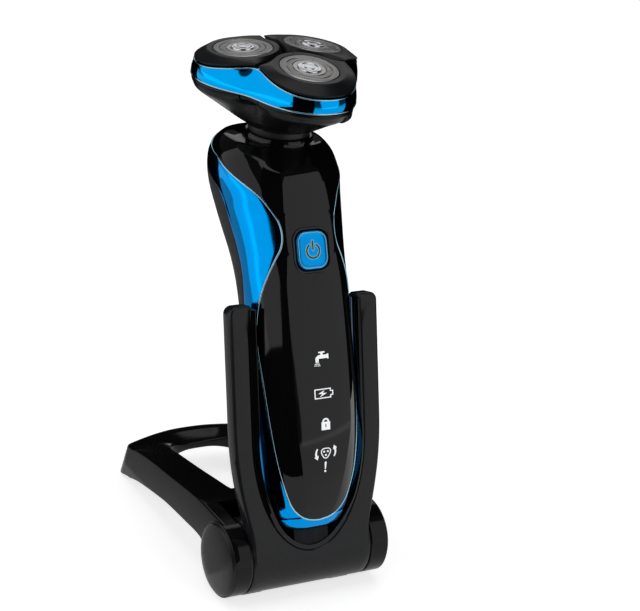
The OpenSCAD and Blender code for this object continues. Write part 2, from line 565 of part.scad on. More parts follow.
module head_band() color("#0d8fe0") head_space() difference() {
    loop_ring([flat_loop(lobe_r, 0, band_low + 0.55), wave_loop(band_r, 0, -0.5),
        wave_loop(band_r, -band_t, -0.5), flat_loop(lobe_r, -band_t, band_low + 0.55)]);
    hinge_slot();
}
module lower_trim() color("#c9ccd0") head_space() difference() {
    loop_ring([flat_loop(lobe_r, 0.1, band_low), flat_loop(lobe_r, 0.1, band_low + 0.54),
        flat_loop(lobe_r, -band_t, band_low + 0.54), flat_loop(lobe_r, -band_t, band_low)]);
    hinge_slot();
}
module upper_trim() color("#c9ccd0") head_space()
    loop_ring([wave_loop(band_r, 0.1, -0.49), wave_loop(band_r, 0.1, -0.05),
        wave_loop(band_r, -0.4, 0), wave_loop(band_r, -band_t, 0), wave_loop(band_r, -band_t, -0.49)]);

spin_r = cutter_pitch_r - pivot_drop * sin(dome);
module head_frame() color("#202124") head_space() difference() {
    union() {
        translate([0, 0, band_low]) linear_extrude(0.5)
            polygon([for (p = flat_loop(lobe_r, -band_t - 0.02, 0)) [p[0], p[1]]]);
        translate([0, 0, band_low + 0.5]) linear_extrude(1)
            polygon([for (p = flat_loop(lobe_r, -band_t - 0.35, 0)) [p[0], p[1]]]);
        translate([-knuckle_in, 18, band_low + 0.05]) cube([2 * knuckle_in, hinge_y - 18, 1.5]);
        translate([-knuckle_in, hinge_y, hinge_z]) rotate([0, 90, 0]) cylinder(r = knuckle_r, h = 2 * knuckle_in);
    }
    for (a = lobe_angles) rotate([0, 0, a]) translate([spin_r, 0, band_low - 1]) cylinder(r = 6, h = 4);
    translate([-10, hinge_y, hinge_z]) rotate([0, 90, 0]) cylinder(r = pin_hinge_r + run_gap, h = 20);
}
module head_hinge_pin() color("#9a9da1") head_space() translate([-knuckle_out, hinge_y, hinge_z])
    rotate([0, 90, 0]) cylinder(r = pin_hinge_r, h = 2 * knuckle_out);

chamber_top = band_low - 0.35;
chamber_low = -neck_drop + 0.02;
plate_z = -17.2;
tab_a = -45;
tab_w = 7;
tab_h = 3.4;
tab_z = -14.6;
module at_tab() { head_space() translate([0, -cutter_pitch_r, tab_z]) rotate([0, 0, tab_a]) children(); }
module hair_chamber() color("#1e1f22") difference() {
    head_space() union() {
        difference() {
            loop_solid([head_loop(12.3, chamber_low, 1, collar_r), head_loop(15.5, -25, 0.86, collar_r + 0.3),
                head_loop(15.5, -22, 0.6, collar_r + 1), head_loop(15.5, -18.5, 0.28, collar_r + 1),
                head_loop(15.5, -15.5), head_loop(16.7, -13.6), head_loop(17.2, -12.6), head_loop(17.3, chamber_top)]);
            loop_solid([head_loop(12.3, -24.4, 1, 10.6), head_loop(14, -22, 0.6, collar_r - 0.5),
                head_loop(14, -18.5, 0.28, collar_r - 0.5), head_loop(14, -15.5),
                head_loop(15.2, -13.6), head_loop(15.7, -12.6), head_loop(15.8, -10)]);
        }
        translate([0, 0, -24.6]) cylinder(r = 6.5, h = plate_z + 24.6);
        both_sides() translate([knuckle_in + 0.3, 20.4, chamber_top - 1.9]) cube([2.7, hinge_y - 20.4, 1.9]);
        both_sides() translate([knuckle_in + 0.3, hinge_y, hinge_z]) rotate([0, 90, 0]) cylinder(r = knuckle_r, h = 2.7);
    }
    head_space() translate([0, 0, -30]) cylinder(r = shaft_r + run_gap, h = 20);
    head_space() translate([-10, hinge_y, hinge_z]) rotate([0, 90, 0]) cylinder(r = pin_hinge_r + 0.02, h = 20);
    at_tab() translate([10, -tab_w / 2 - button_gap, -tab_h / 2 - button_gap]) cube([12, tab_w + 2 * button_gap, tab_h + 2 * button_gap]);
}
module release_tab() color("#2b2d31") at_tab() intersection() {
    translate([12.9, -tab_w / 2, -tab_h / 2]) cube([4, tab_w, tab_h]);
    translate([0, 0, -5]) cylinder(r1 = 15.1, r2 = 17, h = 8.2);
}
module side_clips() color("#55585c") head_space() for (a = [-150, -30]) rotate([0, 0, a])
    translate([lobes(a, 15.7) - 4, -2.5, chamber_top - 1.1]) cube([2.6, 5, 1.1]);

module lobe_plan(r, c) { circle(r = c); for (a = lobe_angles) rotate([0, 0, a]) translate([spin_r, 0]) circle(r = r); }
gear_m = 2 * spin_r / (drive_teeth + spindle_teeth);
case_r = gear_m * (spindle_teeth / 2 + 1) + 1.1;
module gear_plate() color("#8b8e92") head_space() translate([0, 0, plate_z + 0.02]) linear_extrude(1) difference() {
    lobe_plan(case_r, 9);
    circle(r = shaft_r + run_gap);
}
module gear_cover() color("#2a2b2d") head_space() difference() {
    translate([0, 0, plate_z + 1.04]) linear_extrude(3.6) lobe_plan(case_r, 9);
    translate([0, 0, plate_z]) linear_extrude(3.9) lobe_plan(case_r - 0.8, 8.2);
    for (a = lobe_angles) rotate([0, 0, a]) translate([spin_r, 0, -20]) cylinder(r = 1.4 + run_gap, h = 20);
}

gear_z = plate_z + 1.3;
gear_h = 2.2;
function inv(a) = tan(a) * 57.2958 - a;
// Involute gear outline with z teeth, the middle of a tooth on +X
function gear_points(z) = let (p = gear_m * z / 2, b = p * cos(20), top = p + 0.85 * gear_m, low = p - 1.15 * gear_m,
    h = 90 / z - 0.11 / p * 57.3,
    side = [for (r = [max(low, b), (p + max(low, b)) / 2, p, (p + top) / 2, top])
        [r, h + inv(20) - inv(acos(min(1, b / r)))]],
    half_tooth = concat([[low, side[0][1] + 0.3]], side))
    [for (i = [0 : z - 1]) let (m = i * 360 / z) each concat(
        [for (q = half_tooth) [q[0] * cos(m - q[1]), q[0] * sin(m - q[1])]],
        [for (k = [len(half_tooth) - 1 : -1 : 0]) let (q = half_tooth[k]) [q[0] * cos(m + q[1]), q[0] * sin(m + q[1])]])];
module drive_gear() color("#e4e2d8") head_space() difference() {
    union() {
        translate([0, 0, gear_z]) linear_extrude(gear_h) polygon(gear_points(drive_teeth));
        translate([0, 0, -neck_drop]) cylinder(r = shaft_r, h = gear_z + neck_drop + 0.4);
    }
    translate([0, 0, -neck_drop]) sphere(r = tip_r + 0.35);
}
function mesh_turn(a) = let (p = 360 / drive_teeth, d = -(a - p * round(a / p))) 180 - d * drive_teeth / spindle_teeth
    + 180 / spindle_teeth;
module spindle(a) head_space() rotate([0, 0, a]) translate([spin_r, 0, 0]) {
    translate([0, 0, gear_z]) rotate([0, 0, mesh_turn(a)]) linear_extrude(gear_h) polygon(gear_points(spindle_teeth));
    translate([0, 0, gear_z]) cylinder(r = 1.4, h = -pivot_drop - gear_z);
}
module front_spindle() color("#e4e2d8") spindle(-90);
module right_spindle() color("#e4e2d8") spindle(30);
module left_spindle() color("#e4e2d8") spindle(150);

// ---- shaving units ----
pad_top_r = 12.9;
pad_n = 48;
// Distance from the middle of a pad to the outline of the head, in the direction p from outwards
function reach(p, r, a = 8, b = 30, k = 14) = k == 0 ? a : let (m = (a + b) / 2, x = cutter_pitch_r + m * cos(p),
    y = m * sin(p)) norm([x, y]) < lobes(atan2(y, x) - 90, r) ? reach(p, r, m, b, k - 1) : reach(p, r, a, m, k - 1);
function groove_d(p) = (cutter_pitch_r * sin(60) - groove / 2) / max(0.05, max(cos(p - 150), cos(p + 150)));
function pad_edge(p, o) = min(reach(p, band_r) + o, groove_d(p));
function pad_low(p) = let (m = pad_edge(p, 0), x = cutter_pitch_r + m * cos(p), y = m * sin(p))
    band_top(atan2(y, x) - 90) + pad_gap;
function slope_z(x) = -tan(dome) * x;
function pad_loop(k, dz, o) = [for (i = [0 : pad_n - 1]) let (p = 360 * i / pad_n, e = pad_edge(p, o),
    m = e + (pad_top_r - e) * k, z = pad_low(p))
    [m * cos(p), m * sin(p), (z + 0.5) * (1 - k) + slope_z(m * cos(p)) * k + dz]];
module unit_space(a) { head_space() rotate([0, 0, a]) translate([cutter_pitch_r, 0, 0]) children(); }
module tilted() { rotate([0, dome, 0]) children(); }
module pad(a) unit_space(a) difference() {
    union() {
        loop_solid([pad_loop(0, -0.5, 0), pad_loop(0, 0, 0), pad_loop(0.5, 0.5, 0), pad_loop(0.85, 0.3, 0), pad_loop(1, 0, 0)]);
        tilted() translate([0, 0, -7]) cylinder(r = cap_r + 1, h = 5);
    }
    tilted() translate([0, 0, -8]) cylinder(r = cap_r + 0.12, h = 12);
    tilted() translate([0, 0, -8]) difference() { cylinder(r = cap_r + 0.2, h = 1); cylinder(r = 1, h = 1); }
}
module front_pad() color("#1b1c1f") pad(-90);
module right_pad() color("#1b1c1f") pad(30);
module left_pad() color("#1b1c1f") pad(150);
module shaving_cap(a) unit_space(a) tilted() rotate_extrude() polygon([[disc_r + 0.05, -0.7], [cap_r - 0.8, -0.7],
    [cap_r - 0.8, -3.2], [cap_r + 0.1, -3.2], [cap_r + 0.1, -0.3], [cap_r - 0.2, 0.15], [cap_r - 1.8, 0.15],
    [cap_r - 2.3, -0.05], [cap_r - 4.3, -0.05], [cap_r - 4.6, 0.15], [disc_r + 0.05, 0.15]]);
disc_r = 4.2;
module front_shaving_cap() color("#bfc2c6") shaving_cap(-90);
module right_shaving_cap() color("#bfc2c6") shaving_cap(30);
module left_shaving_cap() color("#bfc2c6") shaving_cap(150);
module cap_disc(a) unit_space(a) tilted() rotate_extrude() polygon([[0, -0.7], [disc_r, -0.7], [disc_r, 0.45],
    [disc_r - 0.3, 0.6], [disc_r - 1, 0.55], [0, 0.5]]);
module front_cap_disc() color("#d5d8db") cap_disc(-90);
module right_cap_disc() color("#d5d8db") cap_disc(30);
module left_cap_disc() color("#d5d8db") cap_disc(150);
module cutter(a) unit_space(a) tilted() difference() {
    union() {
        translate([0, 0, -2.4]) cylinder(r = cap_r - 1.3, h = 1.2);
        translate([0, 0, -pivot_drop - 1]) cylinder(r = 3.2, h = pivot_drop - 1.3);
    }
    translate([0, 0, -pivot_drop - 2]) cylinder(r = 2.1, h = 3.4);
    for (i = [0 : 8]) rotate([0, 0, 40 * i]) translate([4.6, -0.6, -3]) cube([10, 1.2, 3]);
}
module front_cutter() color("#a9adb2") cutter(-90);
module right_cutter() color("#a9adb2") cutter(30);
module left_cutter() color("#a9adb2") cutter(150);

cradle();
contact_pins();
charging_board();
dc_inlet();
stand_feet();
hinge_axles();
friction_washers();
recess_pad();
leg_frame();
leg_feet();
left_end_cap();
right_end_cap();
front_shell();
back_grip();
left_side_panel();
right_side_panel();
panel_trim();
bottom_cap();
charge_contacts();
inner_frame();
battery();
motor();
motor_shaft();
circuit_board();
indicator_lamps();
button_frame();
power_button();
button_switch();
frame_screws();
shoulder_cap();
neck_collar();
neck_ball();
hair_chamber();
gear_plate();
gear_cover();
drive_gear();
front_spindle();
right_spindle();
left_spindle();
release_tab();
side_clips();
head_hinge_pin();
head_frame();
head_band();
upper_trim();
lower_trim();
front_pad();
right_pad();
left_pad();
front_shaving_cap();
right_shaving_cap();
left_shaving_cap();
front_cap_disc();
right_cap_disc();
left_cap_disc();
front_cutter();
right_cutter();
left_cutter();
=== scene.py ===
import math

import bmesh
import bpy
import numpy as np
from mathutils import Matrix, Vector


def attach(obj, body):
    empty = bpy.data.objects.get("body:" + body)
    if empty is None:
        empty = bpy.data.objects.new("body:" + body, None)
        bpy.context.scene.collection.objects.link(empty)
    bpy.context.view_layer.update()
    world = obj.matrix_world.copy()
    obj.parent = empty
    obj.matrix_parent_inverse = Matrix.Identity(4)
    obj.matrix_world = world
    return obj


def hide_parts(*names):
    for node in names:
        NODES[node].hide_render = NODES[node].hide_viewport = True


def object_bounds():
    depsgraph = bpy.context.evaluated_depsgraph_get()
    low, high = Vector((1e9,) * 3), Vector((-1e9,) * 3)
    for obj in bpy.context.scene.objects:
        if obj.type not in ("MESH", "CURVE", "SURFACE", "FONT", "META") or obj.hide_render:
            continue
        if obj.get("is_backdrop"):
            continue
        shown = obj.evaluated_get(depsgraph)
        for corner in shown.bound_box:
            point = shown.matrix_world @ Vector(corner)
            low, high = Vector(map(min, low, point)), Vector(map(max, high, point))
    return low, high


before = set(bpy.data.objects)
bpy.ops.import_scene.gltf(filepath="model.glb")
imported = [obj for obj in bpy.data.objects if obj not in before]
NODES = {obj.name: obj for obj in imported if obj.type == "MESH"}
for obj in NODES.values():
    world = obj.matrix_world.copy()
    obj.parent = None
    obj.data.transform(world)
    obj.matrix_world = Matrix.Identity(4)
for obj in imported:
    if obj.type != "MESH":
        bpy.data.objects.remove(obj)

CAD_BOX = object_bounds()
MM = 0.001

# ---------------------------------------------------------------- sizes, in millimetres, as in the solids
BARREL_R, MID_X, HUB_X, END_X = 14.2, 24.4, 24.9, 31.6
AXIS_Y, AXIS_Z = -41.1, 15.0
ARM_LEAN, HANDLE_LEAN = math.radians(18.4), math.radians(24.7)
FACE_Y, ARM_T, ARM_TOP, ARM_HALF, OPEN_HALF, OPEN_TOP, LIP_H = -14.2, 6.2, 95.0, 30.3, 21.3, 45.0, 3.8
LEG_LEN = 96.4
LOW, FRONT = 8.6, 33.4
PIVOT_D, PIVOT_H, NECK_DROP = -16.7, 157.1, 26.5
PITCH_R, LOBE_R, BAND_R, BAND_T, DOME = 16.3, 17.6, 17.0, 1.3, math.radians(6.4)
BAND_LOW, BAND_HIGH = -11.0, -5.6
ANGLES = {"front": -90.0, "right": 30.0, "left": 150.0}


# ---------------------------------------------------------------- spaces of the bodies, into the part's own
def turned(p, a, i, j):
    """Points turned by the angle a, from axis i towards axis j."""
    p = np.array(p, float)
    c, s = math.cos(a), math.sin(a)
    p[..., i], p[..., j] = p[..., i] * c - p[..., j] * s, p[..., i] * s + p[..., j] * c
    return p


def turn_x(p, a):
    return turned(p, a, 1, 2)


def turn_y(p, a):
    return turned(p, a, 2, 0)


def turn_z(p, a):
    return turned(p, a, 0, 1)


def polar(r, a, z):
    """Points at the distances r and angles a round the vertical axis, at the heights z."""
    return np.stack(np.broadcast_arrays(r * np.cos(a), r * np.sin(a), z), -1)


def unit_length(v):
    return v / np.linalg.norm(v, axis=-1, keepdims=True)


def both_sides(half):
    """A run from one side to the middle, with its mirror image after it."""
    return np.vstack([half, half[:-1][::-1] * [-1, 1]])


def at_axis(p):
    return np.asarray(p, float) + [0, AXIS_Y, AXIS_Z]


def in_arms(p):
    return at_axis(turn_x(p, -ARM_LEAN))


def in_handle(p):
    return at_axis(turn_x(p, -HANDLE_LEAN))


PIVOT = in_handle([0, PIVOT_D, PIVOT_H])


def in_pivot(p):
    return np.asarray(p, float) + PIVOT


def in_head(p):
    return np.asarray(p, float) + PIVOT + [0, 0, NECK_DROP]


def in_unit(p, angle):
    return in_head(turn_z(np.asarray(p, float) + [PITCH_R, 0, 0], math.radians(angle)))


def in_tilted_unit(p, angle):
    return in_unit(turn_y(p, DOME), angle)


def along_x(p):
    """A lathe made about +Z, laid along +X."""
    p = np.asarray(p, float)
    return np.stack([p[..., 2], p[..., 1], -p[..., 0]], -1)


# ---------------------------------------------------------------- curves through a few rows
def curve(rows, x, c=1):
    rows = np.asarray(rows, float)
    x = np.asarray(x, float)
    t, y = rows[:, 0], rows[:, c]
    n = len(t)
    i = np.clip(np.searchsorted(t, x, side="right") - 1, 0, n - 2)
    a, b = np.maximum(np.arange(n) - 1, 0), np.minimum(np.arange(n) + 1, n - 1)
    m = (y[b] - y[a]) / (t[b] - t[a])
    w = t[i + 1] - t[i]
    u = np.clip((x - t[i]) / w, 0, 1)
    return (y[i] * (2 * u**3 - 3 * u**2 + 1) + m[i] * w * (u**3 - 2 * u**2 + u)
            + y[i + 1] * (3 * u**2 - 2 * u**3) + m[i + 1] * w * (u**3 - u**2))


SECTIONS = [
    [-1.4, 16 - FRONT, -6, 7.6], [0, 15.8 - FRONT, -6, 8], [1.2, 14 - FRONT, -4, 11.2],
    [4.4, 12 - FRONT, -2.2, 14], [11.4, 8.6 - FRONT, -0.8, 16.4], [23.4, 4.2 - FRONT, 0, 18.2],
    [39.4, 1.1 - FRONT, 0.8, 19.3], [61.4, -FRONT, 1.4, 19.9], [88.4, -0.1 - FRONT, 2, 20],
    [101.4, 0.1 - FRONT, 5.2, 20.3], [119.4, 1.2 - FRONT, 12, 22.2], [129.4, 2.6 - FRONT, 14, 23.4],
    [137, 5 - FRONT, 13.1, 22.4], [141.4, 6.8 - FRONT, 9.5, 19.8], [144.9, 7.8 - FRONT, 3.5, 15.5],
    [146.4, 8.4 - FRONT, -1, 12.5]]
FACET = [[-1.4, 4], [0, 4], [5.4, 5], [11.4, 7], [27.4, 9.5], [39.4, 11], [88.4, 11], [101.4, 9.8],
         [116.4, 9.3], [129.4, 8], [137, 6], [146.4, 3]]
TRIM = [[3.6, 2], [4.1, 13], [5.4, 25], [9.1, 39], [15.6, 49], [24.8, 58.3], [37.9, 65.4], [56.8, 70.9],
        [68.3, 74.5], [74.6, 74], [81.9, 68.8], [87.8, 60.9], [93.9, 50.2], [99.7, 38.4], [103.4, 31],
        [107.8, 27.5], [112.8, 28.5], [117.5, 34.4], [122.4, 42.8], [127.3, 55.8], [133.7, 76.5],
        [137, 89.5], [139, 106], [140.6, 126], [141.8, 148], [142.6, 165], [143, 172]]
GRIP = [[0, 106], [5.4, 104], [60, 97], [89, 91], [98, 88.5], [112, 88.5], [122, 89.5], [126.8, 92.5],
        [130, 100], [133.5, 116], [137, 138], [140, 155], [142.2, 168], [143, 174], [146, 176]]
# How much higher than its row the rear of the shoulder lies, and how much lower the front
RISE = [[-1.4, 0], [106, 0], [114, 0.3], [122, 1.4], [130, 3.6], [137, 6.2], [141.4, 7.2], [146.4, 6.4]]
FALL = [[-1.4, 0], [106, 0], [114, 0], [122, 0], [130, -0.9], [137, -2.6], [141.4, -3.8], [146.4, -5]]
SQUARE, BLEND = 2.3, 6.0


def drop(x, a, b):
    return b * (1 - np.maximum(0, 1 - np.minimum(1, x / a) ** SQUARE) ** (1 / SQUARE))


def front_face(x, u, o=0.0):
    """The handle's front at x across and u up, moved out by o."""
    x = np.abs(np.asarray(x, float))
    f, r, a = curve(SECTIONS, u, 1), curve(SECTIONS, u, 2), curve(SECTIONS, u, 3) + o
    b = (r - f) / 2 + o
    g = curve(FACET, u)
    k = drop(g, a, b) / 2
    q = f - o + drop(x, a, b)
    return np.where(x < g, f - o + k * (x / g) ** 2,
                    np.where(x < g + BLEND, q - k * ((g + BLEND - x) / BLEND) ** 2, q))


def skin(v, u, o=0.0):
    """Point of the handle at angle v from its front and height u above its underside."""
    v, u = np.broadcast_arrays(np.asarray(v, float), np.asarray(u, float))
    s, c = np.sin(np.radians(v)), np.cos(np.radians(v))
    f, r, a = curve(SECTIONS, u, 1), curve(SECTIONS, u, 2), curve(SECTIONS, u, 3) + o
    b = (r - f) / 2 + o
    x = a * np.sign(s) * np.abs(s) ** (2 / SQUARE)
    q = (f + r) / 2 - b * np.sign(c) * np.abs(c) ** (2 / SQUARE)
    y = np.where(c > 0, front_face(x, u, o), q)
    return np.stack([x, y, LOW + u + curve(FALL, u)
                     + (curve(RISE, u) - curve(FALL, u)) * np.clip((y - f) / (r - f), 0, 1)], -1)


def facet_angle(u):
    a = curve(SECTIONS, u, 3)
    return np.degrees(np.arcsin(np.minimum(1, curve(FACET, u) / a) ** (SQUARE / 2)))


def trim_angle(u):
    return curve(TRIM, u)


def grip_angle(u):
    return curve(GRIP, u)


# ---------------------------------------------------------------- mesh making
def sharpen(me, smooth):
    """Edges are drawn sharp where the faces meet at more than so many degrees."""
    if smooth is not None:
        me.set_sharp_from_angle(angle=math.radians(smooth))


def new_mesh(name, pts, faces, smooth=35.0):
    me = bpy.data.meshes.new(name)
    me.from_pydata([tuple(p) for p in np.asarray(pts, float) * MM], [], [tuple(f) for f in faces])
    me.update()
    for p in me.polygons:
        p.use_smooth = True
    sharpen(me, smooth)
    return me


def add(name, pts, faces, body, slot, mat, smooth=35.0, replaces=()):
    """A new piece that rides on a body and stands for the named CAD nodes."""
    ob = bpy.data.objects.new(name, new_mesh(name, pts, faces, smooth))
    bpy.context.scene.collection.objects.link(ob)
    ob.data.materials.append(mat)
    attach(ob, body)
    if replaces:
        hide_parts(*replaces)
    return ob


def wall_faces(n, m, ring=False, wrap=True):
    """Quads between m loops of n points that run upwards on the outside."""
    out = []
    for i in range(m if ring else m - 1):
        k = (i + 1) % m
        for j in range(n if wrap else n - 1):
            jj = (j + 1) % n
            out.append((i * n + j, i * n + jj, k * n + jj, k * n + j))
    return out


def loft(loops, ring=False, caps=True):
    """Closed solid: loops go up the outside (and down the inside when it is a ring)."""
    loops = np.asarray(loops, float)
    m, n = loops.shape[:2]
    pts = loops.reshape(-1, 3)
    faces = wall_faces(n, m, ring)
    if not ring and caps:
        lo, hi = loops[0].mean(0), loops[-1].mean(0)
        pts = np.vstack([pts, lo, hi])
        faces += [((j + 1) % n, j, m * n) for j in range(n)]
        faces += [((m - 1) * n + j, (m - 1) * n + (j + 1) % n, m * n + 1) for j in range(n)]
    return pts, faces


def lathe(profile, n=96, ring=True):
    """Profile points (radius, height) counter-clockwise seen with the axis on the left."""
    t = 2 * np.pi * np.arange(n) / n
    return loft([polar(r, t, z) for r, z in profile], ring)


def merge(*parts):
    pts, faces, k = [], [], 0
    for p, f in parts:
        pts.append(np.asarray(p, float))
        faces += [tuple(i + k for i in q) for q in f]
        k += len(p)
    return np.vstack(pts), faces


def put(part, space):
    return space(np.asarray(part[0], float)), part[1]


def mirror_x(part):
    p = np.asarray(part[0], float) * [-1, 1, 1]
    return p, [tuple(reversed(f)) for f in part[1]]


def edged(lo, hi, count, edge):
    """Positions from lo to hi with two extra near each end, edge apart in the same unit."""
    mid = np.linspace(lo + edge, hi - edge, count)
    return np.concatenate([[lo], [lo + edge * 0.35], mid, [hi - edge * 0.35], [hi]])


def patch_solid(outer, inner, roll=0.25, edges="udlr"):
    """Plate between two grids of points, with its top side's chosen edges rolled down."""
    n, m = outer.shape[:2]
    depth = np.zeros((n, m))
    for k, w in ((0, 1.0), (1, 0.3)):
        for tag, arr in (("d", depth[k]), ("u", depth[-1 - k]), ("l", depth[:, k]), ("r", depth[:, -1 - k])):
            if tag in edges:
                arr[:] = np.maximum(arr, w * roll)
    step = outer - inner
    step = step / np.maximum(1e-6, np.linalg.norm(step, axis=-1, keepdims=True))
    pts = np.vstack([(outer - step * depth[..., None]).reshape(-1, 3), inner.reshape(-1, 3)])
    k = n * m
    faces = []
    for i in range(n - 1):
        for j in range(m - 1):
            a, b, c, d = i * m + j, i * m + j + 1, (i + 1) * m + j + 1, (i + 1) * m + j
            faces += [(a, b, c, d), (k + d, k + c, k + b, k + a)]
    for j in range(m - 1):
        a, b = j, (n - 1) * m + j
        faces += [(k + a, k + a + 1, a + 1, a), (b, b + 1, k + b + 1, k + b)]
    for i in range(n - 1):
        a, d = i * m, (i + 1) * m
        faces += [(a, d, k + d, k + a), (a + m - 1, k + a + m - 1, k + d + m - 1, d + m - 1)]
    return pts, faces


def skin_patch(grid_vu, wall=1.5, roll=0.25, edges="udlr", o=0.0):
    g = np.asarray(grid_vu, float)
    part = patch_solid(skin(g[..., 0], g[..., 1], o), skin(g[..., 0], g[..., 1], o - wall), roll, edges)
    return put(part, in_handle)


def weld(ob, dist=1e-6, smooth=None):
    bm = bmesh.new()
    bm.from_mesh(ob.data)
    bmesh.ops.remove_doubles(bm, verts=bm.verts, dist=dist)
    bm.to_mesh(ob.data)
    bm.free()
    sharpen(ob.data, smooth)


def bake(ob, smooth=None):
    """The object's modifiers made into a plain mesh."""
    bpy.context.view_layer.update()
    deps = bpy.context.evaluated_depsgraph_get()
    me = bpy.data.meshes.new_from_object(ob.evaluated_get(deps), depsgraph=deps)
    old = ob.data
    ob.modifiers.clear()
    ob.data = me
    me.name = ob.name
    bpy.data.meshes.remove(old)
    for p in me.polygons:
        p.use_smooth = True
    sharpen(me, smooth)


def cut(ob, *parts, smooth=30.0):
    """The given closed parts taken out of the object."""
    tools = []
    for part in parts:
        tool = bpy.data.objects.new("tool", new_mesh("tool", *part))
        bpy.context.scene.collection.objects.link(tool)
        mod = ob.modifiers.new("cut", "BOOLEAN")
        mod.operation, mod.solver, mod.object = "DIFFERENCE", "EXACT", tool
        tools.append(tool)
    bake(ob, smooth)
    for tool in tools:
        me = tool.data
        bpy.data.objects.remove(tool)
        bpy.data.meshes.remove(me)


def prism(outline, lo, hi, space):
    """Outline (counter-clockwise) drawn from the height lo to the height hi."""
    o = np.asarray(outline, float)
    return put(loft([np.column_stack([o, np.full(len(o), z)]) for z in (lo, hi)]), space)


def squircle(w, h, r, n=8):
    out = []
    for cx, cy, a0 in ((w / 2 - r, h / 2 - r, 0), (r - w / 2, h / 2 - r, 90), (r - w / 2, r - h / 2, 180),
                       (w / 2 - r, r - h / 2, 270)):
        for a in np.linspace(a0, a0 + 90, n + 1):
            out.append((cx + r * math.cos(math.radians(a)), cy + r * math.sin(math.radians(a))))
    return np.array(out)


def bezier(a, b, c, d, t):
    a, b, c, d = (np.asarray(q, float) for q in (a, b, c, d))
    t = np.asarray(t, float)[:, None]
    return a * (1 - t) ** 3 + 3 * b * t * (1 - t) ** 2 + 3 * c * t * t * (1 - t) + d * t**3


def evenly(points, n):
    """n points spread evenly along a run of points, its ends kept."""
    p = np.asarray(points, float)
    s = np.concatenate([[0], np.cumsum(np.linalg.norm(np.diff(p, axis=0), axis=1))])
    t = np.linspace(0, s[-1], n)
    return np.stack([np.interp(t, s, p[:, k]) for k in range(p.shape[1])], -1)


# ---------------------------------------------------------------- materials
def add_node(tree, kind, inputs=(), **settings):
    """A new node; each input is given a value, or the output that feeds it."""
    made = tree.nodes.new(kind)
    for key, value in settings.items():
        setattr(made, key, value)
    for key, value in dict(inputs).items():
        if isinstance(value, bpy.types.NodeSocket):
            tree.links.new(value, made.inputs[key])
        else:
            made.inputs[key].default_value = value
    return made


CLOUD_ROUGHNESS = 0.62
SPECK_SCALE, SPECK_FROM, SPECK_TO = 2600, 0.66, 0.78
DUST_COLOUR = (0.2, 0.2, 0.2, 1)
BUMP_DEPTH = 0.0002


def material(name, base, rough, rough_vary, grain, vary, bump, bump_scale, metal=0.0, ior=1.45, coat=0.0,
             coat_rough=0.04, dust=0.0):
    """Material with a slightly uneven colour and roughness, a fine bump, and dust on what faces up."""
    made = bpy.data.materials.new(name)
    made.use_nodes = True
    tree = made.node_tree
    tree.nodes.clear()
    shader = add_node(tree, "ShaderNodeBsdfPrincipled",
                      {"Metallic": metal, "IOR": ior, "Coat Weight": coat, "Coat Roughness": coat_rough})
    add_node(tree, "ShaderNodeOutputMaterial", {0: shader.outputs[0]})
    where = add_node(tree, "ShaderNodeTexCoord").outputs["Object"]

    def noise(scale, detail, **more):
        return add_node(tree, "ShaderNodeTexNoise", {"Scale": scale, "Detail": detail, "Vector": where,
                                                     **more}).outputs["Fac"]

    def blend(share, low, high):
        return add_node(tree, "ShaderNodeMix", {0: share, 6: low, 7: high}, data_type="RGBA").outputs[2]

    def spread(value, low, high, to_low, to_high):
        return add_node(tree, "ShaderNodeMapRange", {"Value": value, "From Min": low, "From Max": high,
                                                     "To Min": to_low, "To Max": to_high}).outputs[0]

    darker, lighter = ((*(min(1.0, c * k) for c in base), 1) for k in (1 - vary, 1 + vary))
    colour = blend(noise(grain, 6, Roughness=CLOUD_ROUGHNESS), darker, lighter)
    if dust:
        normal = add_node(tree, "ShaderNodeNewGeometry").outputs["Normal"]
        upward = add_node(tree, "ShaderNodeSeparateXYZ", {0: normal}).outputs["Z"]
        speck = spread(noise(SPECK_SCALE, 2), SPECK_FROM, SPECK_TO, 0.0, dust)
        share = add_node(tree, "ShaderNodeMath", {0: speck, 1: upward}, operation="MULTIPLY", use_clamp=True)
        colour = blend(share.outputs[0], colour, DUST_COLOUR)
    tree.links.new(colour, shader.inputs["Base Color"])
    rougher = spread(noise(grain * 0.35, 5), 0.3, 0.7, max(0.0, rough - rough_vary), rough + rough_vary)
    tree.links.new(rougher, shader.inputs["Roughness"])
    if bump:
        dent = add_node(tree, "ShaderNodeBump",
                        {"Strength": bump, "Distance": BUMP_DEPTH, "Height": noise(bump_scale, 4)})
        tree.links.new(dent.outputs[0], shader.inputs["Normal"])
    return made


METAL = {"metal": 1.0}
